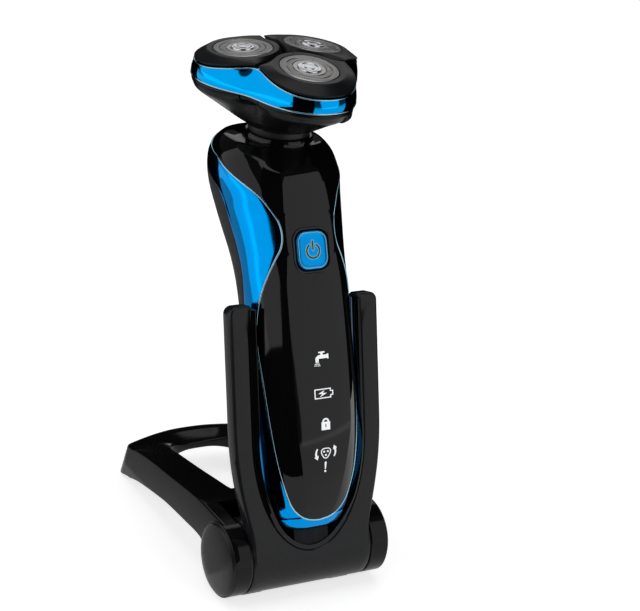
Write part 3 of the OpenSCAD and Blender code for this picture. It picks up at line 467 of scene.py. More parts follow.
# Key, name, colour, roughness, its range, grain, the colour's range, bump, its scale, what else differs
MATERIALS = [
    ("gloss", "black_gloss", (0.0035, 0.0037, 0.0045), 0.045, 0.02, 160, 0.2, 0.012, 260,
     {"ior": 1.41, "dust": 0.08}),
    ("stand", "stand_satin", (0.017, 0.0176, 0.0196), 0.22, 0.04, 420, 0.15, 0.05, 5200,
     {"ior": 1.36, "dust": 0.10}),
    ("leg", "leg_satin", (0.005, 0.0052, 0.006), 0.12, 0.03, 300, 0.15, 0.02, 5200,
     {"ior": 1.33, "dust": 0.10}),
    ("matte", "black_matte", (0.012, 0.012, 0.0135), 0.42, 0.06, 500, 0.2, 0.12, 5200, {}),
    ("pad", "pad_satin", (0.0085, 0.009, 0.0105), 0.34, 0.04, 420, 0.12, 0.06, 5200,
     {"ior": 1.32, "dust": 0.06}),
    ("chamber", "chamber_satin", (0.006, 0.0062, 0.0075), 0.27, 0.05, 380, 0.15, 0.06, 5200, {"ior": 1.36}),
    ("grip", "grip_rubber", (0.030, 0.031, 0.034), 0.62, 0.07, 700, 0.18, 0.35, 3600, {}),
    ("blue", "blue_metallised", (0.0, 0.36, 0.94), 0.09, 0.03, 120, 0.05, 0.02, 240, METAL),
    ("band", "band_metallised", (0.0, 0.40, 0.95), 0.07, 0.03, 120, 0.05, 0.02, 240, METAL),
    ("button", "button_blue", (0.0, 0.38, 1.0), 0.34, 0.03, 200, 0.05, 0.006, 400, {"metal": 0.92}),
    # painted highlight for the button's rounded rim and the edges of its symbol
    ("button_line", "button_line", (0.35, 0.85, 0.95), 0.25, 0.04, 400, 0.05, 0, 0, {}),
    # painted shade for the groove of the button's engraved symbol
    ("button_ink", "button_ink", (0.004, 0.02, 0.09), 0.30, 0.04, 400, 0.1, 0, 0, {}),
    ("trim", "bright_trim", (0.42, 0.72, 0.86), 0.14, 0.04, 400, 0.06, 0, 0, METAL),
    ("steel", "cap_steel", (0.56, 0.55, 0.54), 0.34, 0.08, 900, 0.12, 0.05, 7000, METAL),
    ("disc", "disc_steel", (0.80, 0.81, 0.84), 0.20, 0.07, 900, 0.06, 0.06, 1500, METAL),
    ("motor", "motor_steel", (0.42, 0.43, 0.45), 0.34, 0.08, 700, 0.10, 0.08, 3000, METAL),
    ("brass", "contact_metal", (0.62, 0.46, 0.20), 0.22, 0.06, 900, 0.10, 0, 0, METAL),
    ("board", "board_green", (0.012, 0.075, 0.035), 0.36, 0.06, 800, 0.35, 0.2, 1400,
     {"coat": 0.3, "coat_rough": 0.2}),
    ("cell", "cell_wrap", (0.09, 0.24, 0.05), 0.30, 0.05, 300, 0.10, 0.06, 700, {}),
    ("white", "white_plastic", (0.62, 0.61, 0.57), 0.45, 0.06, 500, 0.05, 0.08, 3000, {}),
    ("lamp", "lamp_clear", (0.88, 0.89, 0.90), 0.35, 0.04, 700, 0.03, 0, 0, {}),
    ("foot", "foot_rubber", (0.012, 0.012, 0.013), 0.75, 0.08, 900, 0.2, 0.3, 3000, {}),
    ("ring", "button_frame", (0.012, 0.012, 0.014), 0.16, 0.03, 400, 0.15, 0, 0, {})]
M = {key: material(name, *values, **more) for key, name, *values, more in MATERIALS}
# The symbols on the front glow a little
lamp_shader = next(n for n in M["lamp"].node_tree.nodes if n.type == "BSDF_PRINCIPLED")
lamp_shader.inputs["Emission Color"].default_value = (0.95, 0.98, 1.0, 1)
lamp_shader.inputs["Emission Strength"].default_value = 0.55

CARRIED = {
    "brass": ["contact_pins", "charge_contacts"], "board": ["charging_board", "circuit_board"],
    "matte": ["dc_inlet", "friction_washers", "button_switch", "neck_ball", "gear_cover", "side_clips",
              "head_frame"],
    "foot": ["stand_feet", "recess_pad", "leg_feet"],
    "motor": ["hinge_axles", "motor", "motor_shaft", "gear_plate", "head_hinge_pin", "frame_screws"],
    "white": ["inner_frame", "drive_gear", "front_spindle", "right_spindle", "left_spindle"],
    "cell": ["battery"], "lamp": ["indicator_lamps"],
    "steel": ["front_cutter", "right_cutter", "left_cutter"],
}
for key, names in CARRIED.items():
    for name in names:
        me = NODES[name].data
        me.materials.clear()
        me.materials.append(M[key])

# ---------------------------------------------------------------- stand: U-shaped front and barrel
ARM_ROUND, ARM_INNER_ROUND = 3.0, 1.6


def arm_side():
    """Right half of the arms' outline, upwards: outer side, top, inner side down to the middle of the lip."""
    run = [[24.2, 0.0], [24.4, 8.0]]
    run += bezier([25.1, 12], [28.0, 24], [ARM_HALF, 34], [ARM_HALF, 50], np.linspace(0, 1, 14)).tolist()
    run += [[ARM_HALF, z] for z in (60, 70, 80, 88)]
    r = ARM_ROUND
    run += [[ARM_HALF - r + r * math.cos(a), ARM_TOP - r + r * math.sin(a)]
            for a in np.radians(np.linspace(0, 90, 8))]
    k = ARM_INNER_ROUND
    run += [[OPEN_HALF + k - k * math.sin(a), ARM_TOP - k + k * math.cos(a)]
            for a in np.radians(np.linspace(0, 90, 6))]
    run += [[OPEN_HALF, z] for z in (86, 78, 68, 56)]
    run += [[OPEN_HALF * math.cos(a), OPEN_TOP - (OPEN_TOP - LIP_H) * math.sin(a)]
            for a in np.radians(np.linspace(0, 90, 40))]
    return run


def arm_loop():
    """Outline of both arms, and for each point whether it lies on the opening (1) or outside (0)."""
    half = np.array(arm_side())
    inner = 44
    kind = np.array([0.0] * (len(half) - inner) + [1.0] * inner)
    return both_sides(half), np.concatenate([kind, kind[:-1][::-1]])


def inward(pts):
    """Unit vectors that point into a counter-clockwise outline, at its corners."""
    a = pts - np.roll(pts, 1, 0)
    b = np.roll(pts, -1, 0) - pts
    a /= np.linalg.norm(a, axis=1, keepdims=True) + 1e-9
    b /= np.linalg.norm(b, axis=1, keepdims=True) + 1e-9
    na, nb = np.stack([-a[:, 1], a[:, 0]], -1), np.stack([-b[:, 1], b[:, 0]], -1)
    m = na + nb
    m /= np.linalg.norm(m, axis=1, keepdims=True) + 1e-9
    return m / np.maximum(0.5, (m * na).sum(1, keepdims=True))


ARM_PTS, ARM_KIND = arm_loop()
ARM_IN = inward(ARM_PTS)
# Low down the outer run is inset straight across
for i, (x, z) in enumerate(ARM_PTS):
    if z < 8.5 and ARM_KIND[i] == 0:
        ARM_IN[i] = [-math.copysign(1, x), 0]


def arm_ring(y_outer, in_outer, y_inner, in_inner):
    """Loop of the plate: depth and inset of its outer run, then of the run round the opening."""
    k = ARM_KIND
    inset = in_outer * (1 - k) + in_inner * k
    y = y_outer * (1 - k) + y_inner * k
    p = ARM_PTS + ARM_IN * inset[:, None]
    # beside the hubs the outer run stays clear of the leg's barrel
    back = np.where((np.abs(ARM_PTS[:, 0]) > 24.45) & (ARM_PTS[:, 1] < 12.3),
                    -np.sqrt(np.maximum(0, 14.62**2 - ARM_PTS[:, 1] ** 2)), 0)
    y = np.where(back < 0, np.minimum(y, back), y)
    return np.stack([p[:, 0], y, p[:, 1]], -1)


ARM_BACK = FACE_Y + ARM_T
# Radius of the outer edge, and width and depth of the sloped edge round the opening
R_OUT, CH_W, CH_D = 1.1, 2.3, 2.2
loops = [arm_ring(ARM_BACK, 0.7, ARM_BACK, 0.7), arm_ring(ARM_BACK - 0.2, 0.2, ARM_BACK - 0.2, 0.2),
         arm_ring(ARM_BACK - 0.7, 0, ARM_BACK - 0.7, 0)]
for t in np.linspace(0, 1, 7):
    a = math.radians(90 * t)
    e = min(1.0, max(0.0, (t - 0.12) / 0.76))
    loops.append(arm_ring(FACE_Y + R_OUT * (1 - math.sin(a)), R_OUT * (1 - math.cos(a)),
                          FACE_Y + CH_D * (1 - e), CH_W * e))
plate = loft(loops, caps=False)
n_arm = len(ARM_PTS)
ends = [tuple(range(n_arm - 1, -1, -1)), tuple(range((len(loops) - 1) * n_arm, len(loops) * n_arm))]
plate = (plate[0], plate[1] + ends)
plate = put(plate, in_arms)

# Rounded edge of the barrel: how far in from its radius, and how far along
BARREL_EDGE = [(0.5, 0), (0.15, 0.12), (0, 0.45)]
barrel = lathe([(BARREL_R - i, -MID_X + d) for i, d in BARREL_EDGE]
               + [(BARREL_R, x) for x in np.linspace(-MID_X + 3, MID_X - 3, 9)]
               + [(BARREL_R - i, MID_X - d) for i, d in BARREL_EDGE[::-1]], 160, ring=False)
cradle = add("stand_front", *put(put(barrel, along_x), in_arms), "stand", "stand_satin", M["stand"])


def opening(o, n=40):
    """Outline of the opening between the arms, made wider by o."""
    a = np.radians(np.linspace(0, 90, n))
    side = np.column_stack([(OPEN_HALF + o) * np.cos(a), OPEN_TOP - (OPEN_TOP - LIP_H + o) * np.sin(a)])
    side = np.vstack([[[OPEN_HALF + o, 100.0]], side])
    return both_sides(side)[::-1]


def plan_loop(o, y):
    """The opening's outline as a loop at the depth y."""
    q = opening(o)
    return np.stack([q[:, 0], np.full(len(q), y), q[:, 1]], -1)


def ease(t):
    """Smooth step from 0 to 1."""
    t = np.clip(t, 0, 1)
    return t * t * (3 - 2 * t)


def lip_path(o, n=40):
    """Run of the lip round the opening, up to the arms' ends, moved out by o."""
    z = np.linspace(ARM_TOP - 1.5, OPEN_TOP, 12)[:-1]
    a = np.radians(np.linspace(0, 90, n))
    side = np.column_stack([np.concatenate([np.full(11, OPEN_HALF + o), (OPEN_HALF + o) * np.cos(a)]),
                            np.concatenate([z, OPEN_TOP - (OPEN_TOP - LIP_H + o) * np.sin(a)])])
    return both_sides(side)


# Section of the lip: how far out of the opening, and how far behind the face (minus is before it)
LIP = [(1.9, 1.2), (1.7, 0.1), (1.2, -0.75), (0.5, -1.15), (-0.3, -1.2), (-0.8, -0.95), (-1.0, -0.4),
       (-1.0, 1.6), (-0.7, 2.6), (0.2, 3.0)]
high = ease((lip_path(0)[:, 1] - 40) / 16)
ahead = ease((lip_path(0)[:, 1] - 8) / 14)
rows = []
for o, dy in LIP:
    full, flat = lip_path(o), lip_path(max(o, 0.1))
    rows.append(np.column_stack([full * high[:, None] + flat * (1 - high[:, None]),
                                 FACE_Y + (dy if dy > 0 else 0.2) * (1 - ahead)
                                 + dy * (1.5 if dy < 0 else 1) * ahead]))
rows = np.array(rows)[:, :, [0, 2, 1]]
add("stand_lip", *put(loft([rows[:, j] for j in range(rows.shape[1])]), in_arms), "stand", "black_gloss",
    M["gloss"], 40)

gap_cut = put(loft([plan_loop(0, FACE_Y + ARM_T + 0.7), plan_loop(0, FACE_Y + CH_D),
                    plan_loop(CH_W, FACE_Y), plan_loop(CH_W * 2, FACE_Y - 1.4)]), in_arms)
V360 = np.linspace(0, 360, 97)[:-1]
room = put(loft([skin(V360, u, 0.6) for u in (-1.4, -0.7, 0, 0.6, 1.2, 2.4, 4.4, 7, 11.4, 17, 23.4, 31)]),
           in_handle)
hole = lathe([(3.97, -1.4), (3.97, 9.0)], 48, ring=False)


def in_inlet(p):
    q = turn_x(np.asarray(p, float), math.radians(90)) + [0, BARREL_R - 0.4, 0]
    return at_axis(turn_x(q, math.radians(8)))


cut(cradle, gap_cut, room, put(hole, in_inlet), smooth=28)


def join(ob, part, smooth=None):
    """The part's faces added to the object's mesh."""
    bm = bmesh.new()
    bm.from_mesh(ob.data)
    me = new_mesh("extra", *part)
    bm.from_mesh(me)
    bm.to_mesh(ob.data)
    bm.free()
    bpy.data.meshes.remove(me)
    sharpen(ob.data, smooth)


join(cradle, plate, 28)
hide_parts("cradle")

# ---------------------------------------------------------------- leg
TOP = [[0, 14.2], [4.7, 14.1], [15, 13.7], [23.5, 13.2], [46, 9.4], [66, 5.8], [84, 1.4], [92.4, 0.1],
       [96.4, -0.8]]
UNDER = [[0, -6], [8, -6], [13.4, -2], [18, -0.8], [29, -1.7], [45, -3.4], [52, -4.5], [68, -7.9], [76, -10],
         [87.4, -14.4], [89.8, -14.4], [92.4, -13.6], [94.4, -12.2], [96.4, -8.8]]


def leg_top(y):
    return curve(TOP, y)


def leg_under(y):
    return curve(UNDER, y)


HOLE = END_X - 16.0
out_side = np.vstack([[[END_X, y] for y in (0.0, 6.0, 12.0, 16.99, 17.01, 26.0)],
                      [[END_X, y] for y in np.linspace(30, LEG_LEN - 11, 14)],
                      bezier([END_X, LEG_LEN - 10.4], [END_X, LEG_LEN - 8], [END_X - 0.5, LEG_LEN - 6.9],
                             [END_X - 3, LEG_LEN - 5.8], np.linspace(0, 1, 14)),
                      bezier([END_X - 3.6, LEG_LEN - 5.55], [END_X - 12, LEG_LEN - 2],
                             [LEG_LEN * 0.1, LEG_LEN], [0, LEG_LEN], np.linspace(0, 1, 20))])
out_half = evenly(out_side[5:], 96)
in_side = np.vstack([[[HOLE - 0.2, 26.2]], bezier([HOLE + 0.3, 29.2], [HOLE + 1.6, 50], [HOLE + 3.2, 64],
                                                  [HOLE + 1.8, LEG_LEN - 21], np.linspace(0, 1, 20)),
                     bezier([HOLE + 1.5, LEG_LEN - 20.4], [HOLE - 0.6, LEG_LEN - 15], [7, LEG_LEN - 13.2],
                            [0, LEG_LEN - 13.2], np.linspace(0, 1, 22))])
in_half = evenly(in_side, 96)
rows_out = np.vstack([[[END_X, y] for y in (0.0, 5.0, 10.0, 14.0, 16.98, 17.0, 20.0, 23.5)], out_half])
rows_in = np.vstack([[[HUB_X, y] for y in (0.0, 5.0, 10.0, 14.0, 16.98)],
                     [[HOLE - 1.2, y] for y in (17.0, 20.0, 23.5)], in_half])
outer_run = both_sides(rows_out)
inner_run = both_sides(rows_in)


# Height of the arch under the rear bar, against the distance from the middle
ARCH = [[0, -4.1], [6, -4.1], [11.9, -4.8], [17.9, -6.4], [21.9, -9.0], [23.9, -12.2], [25.2, -20], [60, -20]]


def leg_sole(p):
    """Underside of the leg, with the arch under its rear bar."""
    under = leg_under(p[:, 1])
    return under + np.maximum(0, curve(ARCH, np.abs(p[:, 0])) - under) * ease((p[:, 1] - 60) / 9)


def leg_loops(o, i, r_out=0.9, r_in=0.9, floor_r=0.8):
    """Cross-section loops of a bar that lies between two runs seen from above."""
    d = unit_length(i - o)
    out = []
    rear = ease((o[:, 1] - 84) / 8) * ease((27 - np.abs(o[:, 0])) / 20)

    def at(s_mm, from_in, z):
        p = (i - d * s_mm) if from_in else (o + d * s_mm)
        zt, zb = leg_top(p[:, 1]), leg_sole(p)
        if from_in:
            zt = zt - 2.3 * rear
        q = z(zt, zb)
        y = p[:, 1]
        if not from_in:
            y = y - 2.5 * (q + 6.5) / 8 * ease((p[:, 1] - 76) / 9) * ease((np.abs(p[:, 0]) - 4) / 26)
        return np.stack([p[:, 0], y, q], -1)

    for a in np.radians([0, 30, 60, 90]):
        rise = floor_r * (1 - math.cos(a))
        out.append(at(floor_r * (1 - math.sin(a)), False, lambda zt, zb, rise=rise: zb + rise))
    for a in np.radians([0, 22, 45, 68, 90]):
        out.append(at(r_out * (1 - math.cos(a)), False, lambda zt, zb, a=a: zt - r_out * (1 - math.sin(a))))
    for f, dip in ((0.2, 0), (0.34, 0), (0.40, 0.25), (0.6, 1.05), (0.8, 1.8)):
        p = o + (i - o) * f
        out.append(np.stack([p[:, 0], p[:, 1], leg_top(p[:, 1]) - dip * rear], -1))
    for a in np.radians([90, 68, 45, 22, 0]):
        out.append(at(r_in * (1 - math.cos(a)), True, lambda zt, zb, a=a: zt - r_in * (1 - math.sin(a))))
    for a in np.radians([90, 60, 30, 0]):
        rise = floor_r * (1 - math.cos(a))
        out.append(at(floor_r * (1 - math.sin(a)), True, lambda zt, zb, rise=rise: zb + rise))
    for f in (0.86, 0.72, 0.58, 0.44, 0.3, 0.15):
        p = o + (i - o) * f
        out.append(np.stack([p[:, 0], p[:, 1], leg_sole(p)], -1))
    return np.array(out)


def tube(loops):
    """Closed loops (m of n points) round a bar: its ends are the first and the last point of each loop."""
    m, n = loops.shape[:2]
    ends = [tuple(a * n for a in range(m)), tuple(a * n + n - 1 for a in range(m - 1, -1, -1))]
    return loops.reshape(-1, 3), wall_faces(n, m, ring=True, wrap=False) + ends


band_leg = tube(leg_loops(outer_run, inner_run))
xs = np.array([-18, -12, -6.01, -5.99, -2, 2, 5.99, 6.01, 12, 18.0])
bar_loops = []
for y, f, dz in [(17.0, 0, 0.8), (17.0, 1, -0.9), (17.25, 1, -0.28), (17.9, 1, 0), (20, 1, 0), (23, 1, 0),
                 (25.4, 1, 0), (25.95, 1, -0.28), (26.2, 1, -0.9), (26.2, 0, 0.8), (25.4, 0, 0), (21, 0, 0),
                 (17.8, 0, 0)]:
    zt, zb = float(leg_top(y)) + dz, float(leg_under(y)) + dz
    z = np.full(len(xs), zt) if f else np.where(np.abs(xs) < 6, 8.4 + dz, zb)
    bar_loops.append(np.stack([-xs, np.full(len(xs), y), z], -1))
bar = tube(np.array(bar_loops))
hub = lathe([(8.0, HUB_X)] + [(BARREL_R - i, HUB_X + d) for i, d in BARREL_EDGE]
            + [(BARREL_R, END_X - 1), (BARREL_R, END_X)], 144, ring=False)
hub = put(hub, along_x)
add("leg_loop", *put(merge(band_leg, bar, hub, mirror_x(hub)), at_axis), "leg", "leg_satin", M["leg"], 24,
    ["leg_frame"])

cap = [(13.7, 0.0), (BARREL_R - 0.06, 0.04), (BARREL_R, 0.16), (BARREL_R - 0.02, 0.34), (BARREL_R - 0.2, 0.5),
       (13.82, 0.5), (13.72, 0.42), (13.6, 0.5)]
cap += [(13.55 * math.cos(a) ** 0.8 if a < math.radians(89) else 0.35, 0.56 + 1.92 * math.sin(a) ** 0.9)
        for a in np.radians(np.linspace(3, 89.5, 20))]
cap_r = put(put(lathe(cap, 144, ring=False), lambda p: along_x(np.asarray(p) + [0, 0, END_X + 0.02])),
            at_axis)
cap_l = mirror_x(cap_r)
add("end_cap_right", *cap_r, "leg", "stand_satin", M["stand"], 28, ["right_end_cap"])
add("end_cap_left", *cap_l, "leg", "stand_satin", M["stand"], 28, ["left_end_cap"])

# ---------------------------------------------------------------- handle
U_END = 143.0


def shell_columns(u):
    """Angles from one trim line to the other, with columns on the facet's edges."""
    tr = trim_angle(u)
    fa = facet_angle(u)
    a = curve(SECTIONS, u, 3)
    fb = np.degrees(np.arcsin(np.minimum(0.97, (curve(FACET, u) + BLEND) / a) ** (SQUARE / 2)))
    fa, fb = min(fa, tr * 0.72), min(fb, tr * 0.88)
    e = np.concatenate([np.linspace(0, fa, 9), np.linspace(fa, fb, 8)[1:], np.linspace(fb, tr, 22)[1:]])
    last = e[-1] - e[-2]
    e = np.concatenate([e[:-1], [e[-1] - last * 0.35], e[-1:]])
    return np.concatenate([-e[:0:-1], e])


U_SHELL = np.concatenate([[3.66, 3.8, 4.1, 4.6, 5.2, 6, 7, 8.2, 9.6], np.linspace(11.4, 96, 52),
                          np.linspace(97.4, 136, 44), np.linspace(136.7, U_END - 0.02, 20)])
grid = np.array([[(v, u) for v in shell_columns(u)] for u in U_SHELL])
lower = patch_solid(skin(grid[..., 0], grid[..., 1]), skin(grid[..., 0], grid[..., 1], -1.5), 0.22, "dlr")
lower = put(lower, in_handle)
# shoulder: rows that curve from the shell's upper edge in to the collar, and a lip down inside it
p0 = in_handle(skin(grid[-1, :, 0], grid[-1, :, 1]))
p_under = in_handle(skin(grid[-1, :, 0], grid[-1, :, 1] - 0.8))
flow = unit_length(p0 - p_under)
rel = p0 - PIVOT
az = np.arctan2(rel[:, 1], rel[:, 0])
COLLAR_R = 12.45
p3 = PIVOT + polar(COLLAR_R, az, -4.6)
span = np.linalg.norm(p3 - p0, axis=1, keepdims=True)
down = polar(0.55, az, -0.84)
rows = []
for t in np.linspace(0, 1, 14):
    rows.append(p0 * (1 - t) ** 3 + 3 * (p0 + flow * span * 0.30) * t * (1 - t) ** 2
                + 3 * (p3 + down * span * 0.32) * t * t * (1 - t) + p3 * t**3)
rows.append(p3 + [0, 0, 1.2])
rows.append(PIVOT + polar(11.2, az, -3.4))
rows = np.array(rows)
shoulder = (rows.reshape(-1, 3), wall_faces(rows.shape[1], len(rows), wrap=False))
shell = add("front_shell_black", *merge(lower, shoulder), "handle", "black_gloss", M["gloss"], None)
weld(shell, 2e-5, 17)
BTN_U = LOW + 102
BTN_W, BTN_H = 12.4, 13.8
BTN_Y = float(skin(0, 102.0)[1])


def facing(p):
    """Outline across and up, depth outwards, on the front of the handle at the button."""
    p = np.asarray(p, float)
    return in_handle(np.stack([p[..., 0], BTN_Y - p[..., 2], BTN_U + p[..., 1]], -1))


cut(shell, put(loft([np.column_stack([squircle(15.1, 16.5, 4.6), np.full(36, z)]) for z in (-6, 6)]),
               facing), smooth=17)
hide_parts("front_shell", "shoulder_cap")

u_rows = np.concatenate([[5.36, 5.7, 6.4, 8], np.linspace(10, 96, 44), np.linspace(98, 133, 36),
                         np.linspace(133.6, 142.2, 22)])
for s, name in ((1, "right"), (-1, "left")):
    g = []
    for u in u_rows:
        a, b = float(trim_angle(u)) + 0.6, min(float(grip_angle(u)) - 0.35, 180)
        if b - a < 0.3:
            b = a + 0.3
        w = edged(a, b, 13, min(1.2, (b - a) * 0.2))
        g.append([(s * v, u) for v in (w if s > 0 else w[::-1])])
    add(f"side_panel_{name}", *skin_patch(g), "handle", "blue_metallised", M["blue"], 30,
        [f"{name}_side_panel"])

g = []
for u in np.concatenate([[5.36, 5.7, 6.4, 8], np.linspace(10, 130, 60), np.linspace(131, U_END - 0.2, 34)]):
    a = float(grip_angle(u)) + 0.35
    w = edged(a, 180, 22, 1.0)[:-1]
    w = np.concatenate([w[:-1], [180.0], (360 - w[:-1])[::-1]])
    g.append([(v, u) for v in w])
add("grip_back", *skin_patch(g), "handle", "grip_rubber", M["grip"], 30, ["back_grip"])

# bright line between the shell and the panels, one closed bead
# (a degree counts as 0.33 mm when the points are spread along it)
DEGREE, BEAD_R = 0.33, 0.36
path = []
for u in np.concatenate([np.linspace(3.6, 6, 18), np.linspace(6.4, 134, 150), np.linspace(134.5, U_END, 40)]):
    path.append([float(trim_angle(u)), u])
path = np.array(path)
path[0, 0] = 2
path = np.vstack([path, [[176, U_END + 0.1], [179, U_END + 0.1]]])
path = evenly(np.column_stack([path[:, 0] * DEGREE, path[:, 1]]), 260)
path[:, 0] /= DEGREE
vu = np.vstack([path, (path * [-1, 1])[::-1]])
c = in_handle(skin(vu[:, 0], vu[:, 1], -0.12))
outw = unit_length(in_handle(skin(vu[:, 0], vu[:, 1], 0.6)) - c)
tan = unit_length(np.roll(c, -1, 0) - np.roll(c, 1, 0))
side = unit_length(np.cross(tan, outw))
outw = np.cross(side, tan)
loops = [c + BEAD_R * (outw * math.cos(a) - side * math.sin(a)) for a in np.linspace(0, 2 * math.pi, 11)[:-1]]
bead = loft(loops, ring=True)
add("trim_line", *bead, "handle", "bright_trim", M["trim"], 60, ["panel_trim"])

cap_top = [[0, 3.32], [13, 3.8], [25, 5.1], [32, 5.22], [180, 5.22]]
vv = np.where(V360 > 180, 360 - V360, V360)
top_u = curve(cap_top, vv)
loops = [skin(V360, np.zeros(96), -1.4)]
for share, out in ((0.0, -0.25), (0.06, 0), (0.14, 0), (0.26, 0), (0.42, 0), (0.6, 0), (0.8, 0), (0.94, 0),
                   (1.0, -0.2)):
    loops.append(skin(V360, share * top_u, out))
loops.append(skin(V360, top_u, -1.4))
add("bottom_cap_blue", *put(loft(loops), in_handle), "handle", "blue_metallised", M["blue"], 40,
    ["bottom_cap"])


# ---------------------------------------------------------------- power button
def stacked(outline_of, heights):
    """Solid of outlines, each inset by k, stacked at its height."""
    return loft([np.column_stack([outline_of(k), np.full(36, z)]) for k, z in heights])


def button_outline(k):
    return squircle(BTN_W - 2 * k, BTN_H - 2 * k, max(0.6, 3.9 - k))


dome_rows = [(0.5, -3.4), (0, -3.0), (0, -0.05), (0.06, 0.22), (0.22, 0.42), (0.5, 0.52), (0.8, 0.50),
             (1.15, 0.34), (1.6, 0.26), (2.4, 0.30), (3.4, 0.40), (4.6, 0.50), (5.6, 0.55)]
add("power_button_blue", *put(stacked(button_outline, dome_rows), facing), "button", "button_blue",
    M["button"], 40, ["power_button"])
ring_rows = [(0, -3.0), (0, 0.02), (0.12, 0.14), (0.45, 0.16), (0.7, 0.08), (0.85, -0.15), (0.85, -3.0)]


def ring_outline(k):
    return squircle(14.95 - 2 * k, 16.35 - 2 * k, max(0.6, 4.5 - k))


add("button_ring", *put(loft([np.column_stack([ring_outline(k), np.full(36, z)]) for k, z in ring_rows],
                             ring=True), facing), "handle", "black_gloss", M["ring"], 40, ["button_frame"])


def stroke(points, w, z, thick, space, closed=False):
    """A flat line of width w along points (across, up), as a thin solid."""
    p = np.asarray(points, float)
    t = unit_length(np.roll(p, -1, 0) - np.roll(p, 1, 0) if closed else np.gradient(p, axis=0))
    nrm = np.stack([-t[:, 1], t[:, 0]], -1)
    half = np.broadcast_to(np.asarray(w, float) / 2, len(p))[:, None]
    left, right = p + nrm * half, p - nrm * half
    loops = [np.column_stack([q, np.full(len(p), h)])
             for q, h in ((right, z), (right, z + thick), (left, z + thick), (left, z))]
    return put(loft(loops, ring=True) if closed else tube(np.array(loops)), space)


def blob(points, z, thick, space):
    """A filled outline, counter-clockwise, as a thin solid."""
    p = np.asarray(points, float)
    n = len(p)
    pts = np.vstack([np.column_stack([p, np.full(n, h)]) for h in (z, z + thick)])
    faces = [(j, (j + 1) % n, n + (j + 1) % n, n + j) for j in range(n)]
    faces += [tuple(range(n - 1, -1, -1)), tuple(range(n, 2 * n))]
    return put((pts, faces), space)


def arc(cx, cy, r, a0, a1, n=24):
    a = np.radians(np.linspace(a0, a1, n))
    return np.stack([cx + r * np.cos(a), cy + r * np.sin(a)], -1)


def pill(points, r):
    """Outline of a line widened by r with round ends (a straight or bent run)."""
    p = np.asarray(points, float)
    t = unit_length(np.gradient(p, axis=0))
    nrm = np.stack([-t[:, 1], t[:, 0]], -1)
    a_end = math.degrees(math.atan2(-nrm[-1, 1], -nrm[-1, 0]))
    a_start = math.degrees(math.atan2(nrm[0, 1], nrm[0, 0]))
    return np.vstack([p - nrm * r, arc(*p[-1], r, a_end, a_end + 180, 7)[1:-1], (p + nrm * r)[::-1],
                      arc(*p[0], r, a_start, a_start + 180, 7)[1:-1]])


BTN_FACE = 0.50
ring_pts = arc(0, -0.35, 2.55, 122, 418, 48)
bar_pts = np.array([[0, y] for y in np.linspace(0.1, 3.2, 8)])
# Dark fill of the engraved standby symbol: painted shade in its groove
shaded_symbol = merge(stroke(ring_pts, 0.5, BTN_FACE - 0.3, 0.36, facing),
            stroke(bar_pts, 0.5, BTN_FACE - 0.3, 0.36, facing))
add("button_symbol", *shaded_symbol, "button", "black_gloss", M["button_ink"], 40)
# Pale lines round the symbol and just inside the button's edge: painted highlights on the symbol's edges and
# on the button's rounded rim
lines = [stroke(pill(q, 0.44), 0.34, BTN_FACE - 0.3, 0.42, facing, closed=True) for q in (ring_pts, bar_pts)]
lines.append(stroke(button_outline(0.62), 0.3, 0.2, 0.36, facing, closed=True))
add("button_symbol_highlight", *merge(*lines), "button", "bright_trim", M["button_line"], 60)


# ---------------------------------------------------------------- lit symbols on the front
def on_front(p):
    """Across, up from the handle's underside, outwards from the front face."""
    p = np.asarray(p, float)
    y = front_face(p[..., 0], p[..., 1], 0.0) - p[..., 2]
    return in_handle(np.stack([p[..., 0], y, LOW + p[..., 1]], -1))


MARK_Z, MARK_THICK = -0.10, 0.24
marks = []


def symbol_space(u, k=1.28):
    """Drawing plane of a symbol at the height u, k times as large."""
    return lambda p: on_front(np.asarray(p, float) * [k, k, 1] + [0, u, 0])


def mark(*outlines):
    """Filled outlines in the plane of the symbol being drawn."""
    for outline in outlines:
        marks.append(blob(outline, MARK_Z, MARK_THICK, space))


def mark_line(points, w, closed=False):
    marks.append(stroke(points, w, MARK_Z, MARK_THICK, space, closed))


def oblong(x0, y0, x1, y1):
    return [(x0, y0), (x1, y0), (x1, y1), (x0, y1)]


# tap with running water
space = symbol_space(62.9)
mark([(-1.2, 0.15), (1.9, 0.15), (1.9, 1.15), (-1.0, 1.15), (-1.45, 0.95), (-1.6, 0.6)],
     [(-2.0, -0.9), (-1.05, -0.9), (-1.05, 0.1), (-1.2, 0.55), (-1.8, 0.7), (-2.0, 0.2)],
     oblong(-0.35, 1.15, 0.35, 1.75), oblong(-0.95, 1.7, 0.95, 2.1), oblong(1.7, -0.05, 2.15, 1.35))
for x, y in ((-2.15, -1.3), (-1.75, -1.25), (-1.35, -1.25), (-0.95, -1.35),
             (-2.3, -1.75), (-1.8, -1.75), (-1.3, -1.8), (-0.8, -1.8)):
    mark(arc(x, y, 0.15, 0, 330, 12))
# battery with a bolt
space = symbol_space(50.5, 1.42)
for corners in ((-2.75, 0.98, 1.95, 1.25), (-2.75, -1.25, 1.95, -0.98), (-2.75, -1.0, -2.48, 1.0),
                (1.68, 0.45, 1.95, 1.0), (1.68, -1.0, 1.95, -0.45), (1.93, 0.36, 2.6, 0.62),
                (1.93, -0.62, 2.6, -0.36), (2.34, -0.4, 2.6, 0.4)):
    mark(oblong(*corners))
mark([(0.0, 0.78), (-1.75, 0.02), (-0.55, -0.1), (-1.25, -0.8), (0.75, 0.06), (-0.4, 0.16)])
# padlock
space = symbol_space(39.5)
mark_line(arc(0, 0.55, 0.85, 0, 180, 16), 0.46)
mark(oblong(-1.35, -1.75, -0.18, 0.55), oblong(0.18, -1.75, 1.35, 0.55), oblong(-0.2, -1.75, 0.2, -0.95),
     oblong(-0.2, -0.05, 0.2, 0.55))
